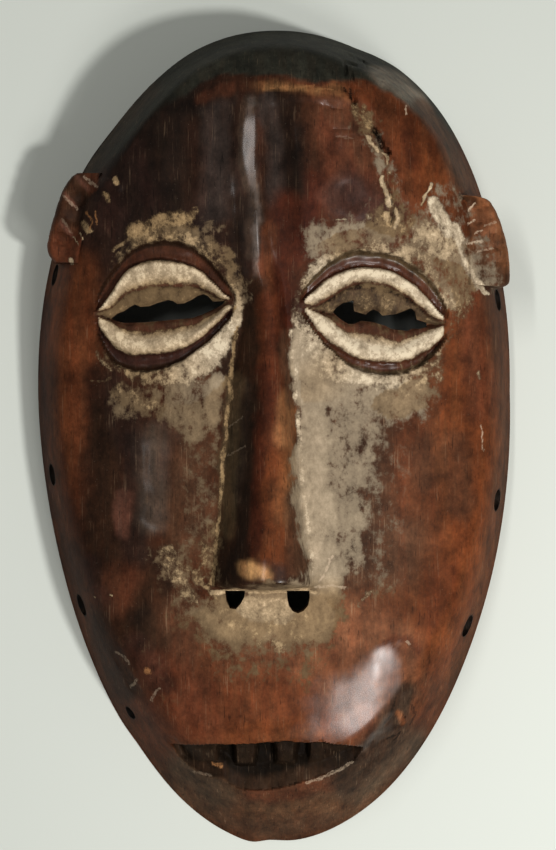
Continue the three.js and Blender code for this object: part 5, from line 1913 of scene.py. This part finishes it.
@dataclass(frozen=True)
class Mask:
    """The whole mask, one piece of wood."""

    carving: Carving = Carving()
    patina: Patina = Patina()
    finish: AgedWoodFinish = AgedWoodFinish()
    ears: tuple[EarCarving, ...] = (
        EarCarving(
            "left",
            rows=(
                (-69.2, 57.6, -73.6, 58.4, 0), (-67.6, 60, -75.5, 61, 0.4), (-66, 62.4, -76, 63.8, 0.8),
                (-63.4, 65.6, -75.5, 66.8, 1.4), (-61, 69, -74.8, 70, 2.6), (-59, 73.4, -73.6, 74.2, 3.6),
                (-58.6, 77.8, -72.2, 78.8, 2.6), (-59.4, 82, -70.4, 83.2, 1.4), (-62, 85.6, -68, 86.6, 0.6),
                (-64, 87.4, -66.2, 87.9, 0),
            ),
            front_inner=32.5,
            front_outer=28.0,
            tone=Tone.RED_BROWN,
        ),
        EarCarving(
            "right",
            rows=(
                (71.4, 50.4, 76.6, 50, 0), (68.4, 52, 78.8, 51.4, 0.2), (66, 56, 79, 56, 0.6),
                (64.5, 60.4, 78.7, 60.4, 0.9), (63.3, 64.4, 78, 64.6, 1.3), (62.2, 68.6, 76.8, 69, 2.4),
                (61.4, 72.8, 75.3, 73.4, 3.8), (60.8, 76.6, 73.6, 76.8, 4), (61.4, 79.2, 71.8, 79, 2.6),
                (63.8, 80.2, 68.6, 80, 0.4),
            ),
            front_inner=33.0,
            front_outer=29.0,
            tone=Tone.EAR,
        ),
    )
    nostrils: tuple[Path, ...] = (
        (
            (-16, -50.6), (-15.6, -54), (-14.4, -56.4), (-12.5, -56.7), (-10.9, -55), (-9.7, -52.8),
            (-9.4, -50.6),
        ),
        (
            (4.3, -50.6), (4.5, -53.4), (5, -55.6), (6.2, -57.3), (8, -58), (9.8, -57.2), (11.3, -55.4),
            (11.8, -53), (11.7, -50.6),
        ),
    )
    cord_holes: Rows = (  # x, y, radius, direction out in degrees
        (-76, 54.9, 3.6, 180), (-76.7, -13.2, 3.6, 180), (-67.8, -57.6, 3.6, 180), (-51.2, -96.4, 2.4, 222),
        (78.1, 46.4, 3.6, 0), (78.1, -21.8, 3.6, 0), (70, -64.7, 3.6, 0),
    )
    nostril_low: float = 5.0
    cord_hole_z: float = 11.6
    cord_hole_length: float = 50.0
    trim: float = 0.9994  # keeps the finer skin inside the solid's size
    columns: Rows = ((-81.2, 0), (-66, 0.62), (66, 0.72), (81.2, 0.62))  # up to, spacing
    lines: Rows = (
        (-140, 0), (-122, 1.3), (-98, 0.55), (-60, 1.1), (-44, 0.45), (16, 1.1), (68, 0.56), (112, 0.9),
        (140, 1.1),
    )
    hollow_cells: tuple[int, int] = (64, 100)
    hollow_marks: AdzeMarks = AdzeMarks(9, 15, 1.1, 8)
    hollow_mark_share: float = 0.8
    hollow_drop: float = 0.55  # so that the marks lie about the hollow's roof
    cutter_overlap: float = 6.0
    rim_step: float = 0.5
    bore_sides: int = 28
    bore_margin: float = 0.12
    smooth_angle: float = 42.0
    thinnest: float = 4.5  # what lies this far under the outside is the hollow's roof
    rim_bareness: float = 0.8  # how much clay and polish is gone from the flanks' foot
    hollow_dryness: float = 0.7

    @staticmethod
    def spread(bands: Rows) -> Values:
        """Lay grid lines with the spacing of each band.

        Args:
            bands: end and spacing of each, the first row being the start.

        Returns:
            Places of the lines.
        """
        places = [np.array([bands[0][0]])]
        for (start, _), (end, spacing) in zip(bands, bands[1:]):
            count = round((end - start) / spacing)
            places.append(np.linspace(start, end, count + 1)[1:])
        return np.concatenate(places)

    @staticmethod
    def to_disc(u: Values, v: Values) -> tuple[Values, Values]:
        """Turn places in a square, -1 to 1 both ways, into a disc's angle and distance."""
        across, up = u * np.sqrt(1 - v * v / 2), v * np.sqrt(1 - u * u / 2)
        return np.arctan2(up, across), np.hypot(across, up)

    @staticmethod
    def grid(columns: int, rows: int) -> tuple[Piece, Values, Values, Values]:
        """Add a grid.

        Args:
            columns: cells across.
            rows: cells up.

        Returns:
            The object, each vertex's column and row, and which lie on its edge.
        """
        start_afresh()
        bpy.ops.mesh.primitive_grid_add(x_subdivisions=columns, y_subdivisions=rows, size=2)
        sheet = bpy.context.active_object
        points = read_points(sheet)
        column = np.rint((points[:, 0] + 1) / 2 * columns).astype(int)
        row = np.rint((points[:, 1] + 1) / 2 * rows).astype(int)
        edge = (column == 0) | (column == columns) | (row == 0) | (row == rows)
        return sheet, column, row, edge

    def block(self) -> Piece:
        """Carve the outside, as a closed solid with a flat underside.

        Returns:
            The solid.
        """
        form = self.carving.form
        columns, lines = self.spread(self.columns), self.spread(self.lines)
        sheet, column, row, edge = self.grid(len(columns) - 1, len(lines) - 1)
        u = columns[column] / (form.width / 2)
        above = lines[row] - form.waist_y
        v = np.where(above >= 0, above / form.crown_reach, above / form.chin_reach)
        angle, share = self.to_disc(u, v)
        x, y = form.outline_point(angle, share)
        crust = self.crust_share(x, y)[0]
        height = np.maximum(self.carving.height(x, y, crust), self.rim_step)
        height[edge] = self.rim_step
        write_points(sheet, np.column_stack((x, y, height)))
        close_below(sheet, edge, self.rim_step)
        return sheet

    def hollow(self) -> Piece:
        """Make the cutter of the hollow, with the marks of the adze on its roof.

        Returns:
            A closed solid.
        """
        form = self.carving.form
        across, up = self.hollow_cells
        sheet, column, row, edge = self.grid(across, up)
        angle, share = self.to_disc(column / across * 2 - 1, row / up * 2 - 1)
        x, y = form.outline_point(angle, share, form.rim_width, form.rim_width, form.chin_block)
        marks = self.hollow_marks.dip(x, y) * smoothstep(1.0, 0.9, share)
        height = np.maximum(form.hollow(x, y, share) - self.hollow_drop + marks * self.hollow_mark_share, 0)
        height[edge] = 0
        write_points(sheet, np.column_stack((x, y, height)))
        close_below(sheet, edge, self.cutter_overlap)
        return sheet

    def cord_hole(self, hole: tuple[float, ...]) -> Piece:
        """Make the cutter of one cord hole.

        Args:
            hole: one row of the cord holes.

        Returns:
            A closed solid.
        """
        x, y, radius, direction = hole
        start_afresh()
        bpy.ops.mesh.primitive_cylinder_add(
            vertices=self.bore_sides,
            radius=radius * MM,
            depth=self.cord_hole_length * MM,
            location=(x * MM, y * MM, self.cord_hole_z * MM),
            rotation=(0, math.pi / 2, math.radians(direction)),
        )
        bore = bpy.context.active_object
        bpy.ops.object.transform_apply()
        return bore

    def build(self) -> Piece:
        """Carve the mask.

        Returns:
            One closed solid.
        """
        mask = self.block()
        log.info("outside carved, %d faces", len(mask.data.polygons))
        combine(mask, self.hollow(), Join.CUT)
        for ear in self.ears:
            combine(mask, ear.build(self.carving.form), Join.ADD)
            log.info("%s ear joined", ear.name)
        for eye in self.carving.eyes:
            combine(mask, prism(eye.slit, eye.cutter_low, eye.cutter_high), Join.CUT)
            log.info("slit of the %s eye cut", eye.name)
        for nostril in self.nostrils:
            combine(mask, prism(nostril, self.nostril_low, self.carving.eyes[0].cutter_high), Join.CUT)
        for hole in self.cord_holes:
            combine(mask, self.cord_hole(hole), Join.CUT)
        mask.name = mask.data.name = "carved_mask"
        mask.data.transform(Matrix.Diagonal((self.trim, self.trim, 1, 1)))
        only(mask)
        bpy.ops.object.shade_smooth_by_angle(angle=math.radians(self.smooth_angle))
        return mask

    def crust_share(self, x: Values, y: Values) -> tuple[Values, Values]:
        """Find where the thick white clay sticks, and how clean it is.

        Args:
            x, y: places across and up.

        Returns:
            Amounts of clay and its cleanness.
        """
        wx, wy = self.patina.astray(self.patina.clay_wander, x, y)
        amount = np.zeros(np.shape(x))
        clean = 0.25 + (0.2 + 0.3 * smoothstep(0, 10, x)) * smoothstep(-56, -44, y)

        def add(share: Values, cleanness: Values) -> None:
            """Let the thickest clay show."""
            clean[:] = np.where(share > amount, cleanness, clean)
            np.maximum(amount, share, out=amount)

        for daub in self.patina.crust:
            add(daub.share(wx, wy), daub.clean)
        for eye in self.carving.eyes:
            add(*eye.ring_clay(x, y))
            place = eye.place(x, y)
            reach = smoothstep(0.5, 1, eye.reach(x))
            add(reach * along(eye.lid_clay, place), eye.clean + along(eye.lid_clay, place, 2))
        return amount, clean

    def paint_wood_and_light(self, coat: Coat, x: Values, y: Values) -> None:
        """Lay the wood's colours over each other, with painted highlights, sheen and shade among them, then
        rub in thin clay and polish.

        Args:
            coat: what lies on the mask, changed in place.
            x, y: places across and up.
        """
        p = self.patina
        wx, wy = p.astray(p.colour_wander, x, y)
        for daub in (*p.grounds, *p.forehead, *p.left_cheek, *p.lower_face, *p.right_cheek, *p.chin, *p.nose):
            coat.lay(daub.tone, daub.share(wx, wy))
        # The cap's grey-green is partly a painted reflection.
        coat.lay(Tone.CAP, p.cap_share(wx, wy))
        for daub in p.flanks:
            coat.lay(daub.tone, daub.share(wx, wy))
        wx, wy = p.astray(p.wash_wander, x, y)
        for layer, daubs in ((coat.wash, p.wash), (coat.polish, p.polish), (coat.dry, p.dry)):
            for daub in daubs:
                np.maximum(layer, daub.share(wx, wy), out=layer)

    def bored(self, points: Values) -> Values:
        """Tell which points lie on the wall of a cord hole.

        Args:
            points: one row a vertex.

        Returns:
            1 on a wall, 0 elsewhere.
        """
        on_wall = np.zeros(len(points))
        for x, y, radius, direction in self.cord_holes:
            turn = math.radians(direction)
            way = np.array((math.cos(turn), math.sin(turn), 0))
            off = points - np.array((x, y, self.cord_hole_z))
            sideways = np.linalg.norm(off - np.outer(off @ way, way), axis=1)
            near = np.abs(off @ way) < self.cord_hole_length / 2
            on_wall[(sideways < radius + self.bore_margin) & near] = 1
        return on_wall

    def dress(self, mask: Piece) -> None:
        """Give the mask its colours and its finish.

        Args:
            mask: the carved solid.
        """
        points = read_points(mask) / MM
        x, y, z = points.T
        none = np.zeros(len(x))
        ground = np.tile(np.array(Tone.GROUND.value), (len(x), 1))
        crust, clean = self.crust_share(x, y)
        coat = Coat(ground, crust, clean, none.copy(), none.copy(), none.copy(), none + 1)
        self.paint_wood_and_light(coat, x, y)
        for eye in self.carving.eyes:
            eye.paint(coat, x, y)
        depth = self.carving.mouth.depth(x, y)
        self.carving.mouth.paint(coat, x, y, depth)
        # Painted shadow inside the cord holes.
        coat.lay(Tone.HOLE, self.bored(points))
        outer = self.carving.plain_height(x, y)
        share = self.carving.form.outward_share(x, y)
        on_ears = none
        for ear in self.ears:
            on_ears = np.maximum(on_ears, ear.paint(coat, self.patina.ears, points, outer, share))

        normals = np.empty(3 * len(x), np.float32)
        mask.data.vertices.foreach_get("normal", normals)
        inside = smoothstep(7.2, 8.5, outer - depth - z) * smoothstep(0.985, 0.96, share)
        roof = smoothstep(-0.1, -0.4, normals[2::3]) * (outer - z > self.thinnest) * (1 - on_ears)
        inside = np.maximum(inside, roof)
        coat.lay(Tone.INSIDE, inside)
        edge = smoothstep(0.96, 1.0, share) * (1 - on_ears)
        for layer in (coat.crust, coat.wash, coat.polish):
            layer *= (1 - inside) * (1 - self.rim_bareness * edge)
        coat.dry = np.maximum(coat.dry, inside * self.hollow_dryness)
        coat.faced = 1 - inside
        coat.store(mask)
        mask.data.materials.clear()
        mask.data.materials.append(self.finish.make())

    def hand_over(self, mask: Piece) -> None:
        """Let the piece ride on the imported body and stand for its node.

        Args:
            mask: the dressed mask.
        """
        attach(mask, "root")
        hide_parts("mask")


@dataclass(frozen=True)
class Lamp:
    """A soft light, placed by its direction from the mask."""

    name: str
    direction: Colour
    distance: float
    width: float
    length: float
    power: float

    def hang(self) -> None:
        """Add the light, turned towards the mask."""
        data = bpy.data.lights.new(self.name, "AREA")
        data.shape = "ELLIPSE" if self.width == self.length else "RECTANGLE"
        data.size = self.width
        data.size_y = self.length
        data.energy = self.power
        lamp = bpy.data.objects.new(self.name, data)
        bpy.context.scene.collection.objects.link(lamp)
        way = Vector(self.direction).normalized()
        across = Vector((0, 1, 0)).cross(way).normalized()
        lamp.location = way * self.distance
        lamp.rotation_euler = Matrix((across, way.cross(across), way)).transposed().to_euler()


@dataclass(frozen=True)
class Studio:
    """The pale floor, the soft lights and the camera that looks straight down."""

    floor_colour: Colour = (0.67, 0.69, 0.635)
    lamps: tuple[Lamp, ...] = (
        Lamp("key", (0.53, -0.30, 1), 0.8, 0.07, 0.07, 3.8),
        Lamp("fill", (-0.35, 0.33, 1), 1.2, 0.05, 0.7, 3.2),
        Lamp("glint", (0.42, -0.56, 1), 0.85, 0.2, 0.15, 1.6),
    )
    sky: Colour = (0.215, 0.218, 0.212)
    contrast: float = 0.85
    camera_place: Colour = (1.4, 3.8, 800.0)
    frame_height: float = 293.8
    sensor: float = 36.0

    def lay_floor(self) -> None:
        """Lay the pale floor that the mask lies on."""
        start_afresh()
        bpy.ops.mesh.primitive_plane_add(size=6)
        floor = bpy.context.active_object
        floor.name = "floor"
        material = bpy.data.materials.new("pale_floor")
        bench = NodeBench(material)
        shader = bench.node("ShaderNodeBsdfPrincipled")
        bench.feed(shader.inputs["Base Color"], self.floor_colour)
        shader.inputs["Roughness"].default_value = 0.7
        output = bench.node("ShaderNodeOutputMaterial")
        bench.feed(output.inputs["Surface"], shader.outputs[0])
        floor.data.materials.append(material)

    def light(self) -> None:
        """Hang the lamps and set the even light from all round."""
        for lamp in self.lamps:
            lamp.hang()
        world = bpy.data.worlds.new("soft_room")
        world.use_nodes = True
        world.node_tree.nodes["Background"].inputs["Color"].default_value = (*self.sky, 1)
        bpy.context.scene.world = world

    def set_camera(self) -> None:
        """Place the camera over the mask."""
        data = bpy.data.cameras.new("camera")
        data.sensor_fit = "VERTICAL"
        data.sensor_height = self.sensor
        data.lens = self.sensor * self.camera_place[2] / self.frame_height
        camera = bpy.data.objects.new("camera", data)
        camera.location = tuple(value * MM for value in self.camera_place)
        bpy.context.scene.collection.objects.link(camera)
        bpy.context.scene.camera = camera

    def build(self) -> None:
        """Set up everything round the mask."""
        self.lay_floor()
        self.light()
        self.set_camera()
        view = bpy.context.scene.view_settings
        view.view_transform = "Standard"
        view.gamma = self.contrast


def main() -> None:
    """Build the mask and the room round it, and log the triangle count."""
    logging.basicConfig(level=logging.INFO, format="%(name)s: %(message)s")
    maker = Mask()
    mask = maker.build()
    maker.dress(mask)
    maker.hand_over(mask)
    triangles = sum(len(face.vertices) - 2 for face in mask.data.polygons)
    log.info("%s: %d triangles", mask.name, triangles)
    Studio().build()
    log.info("floor, lights and camera set")


if __name__ == "__main__":
    main()
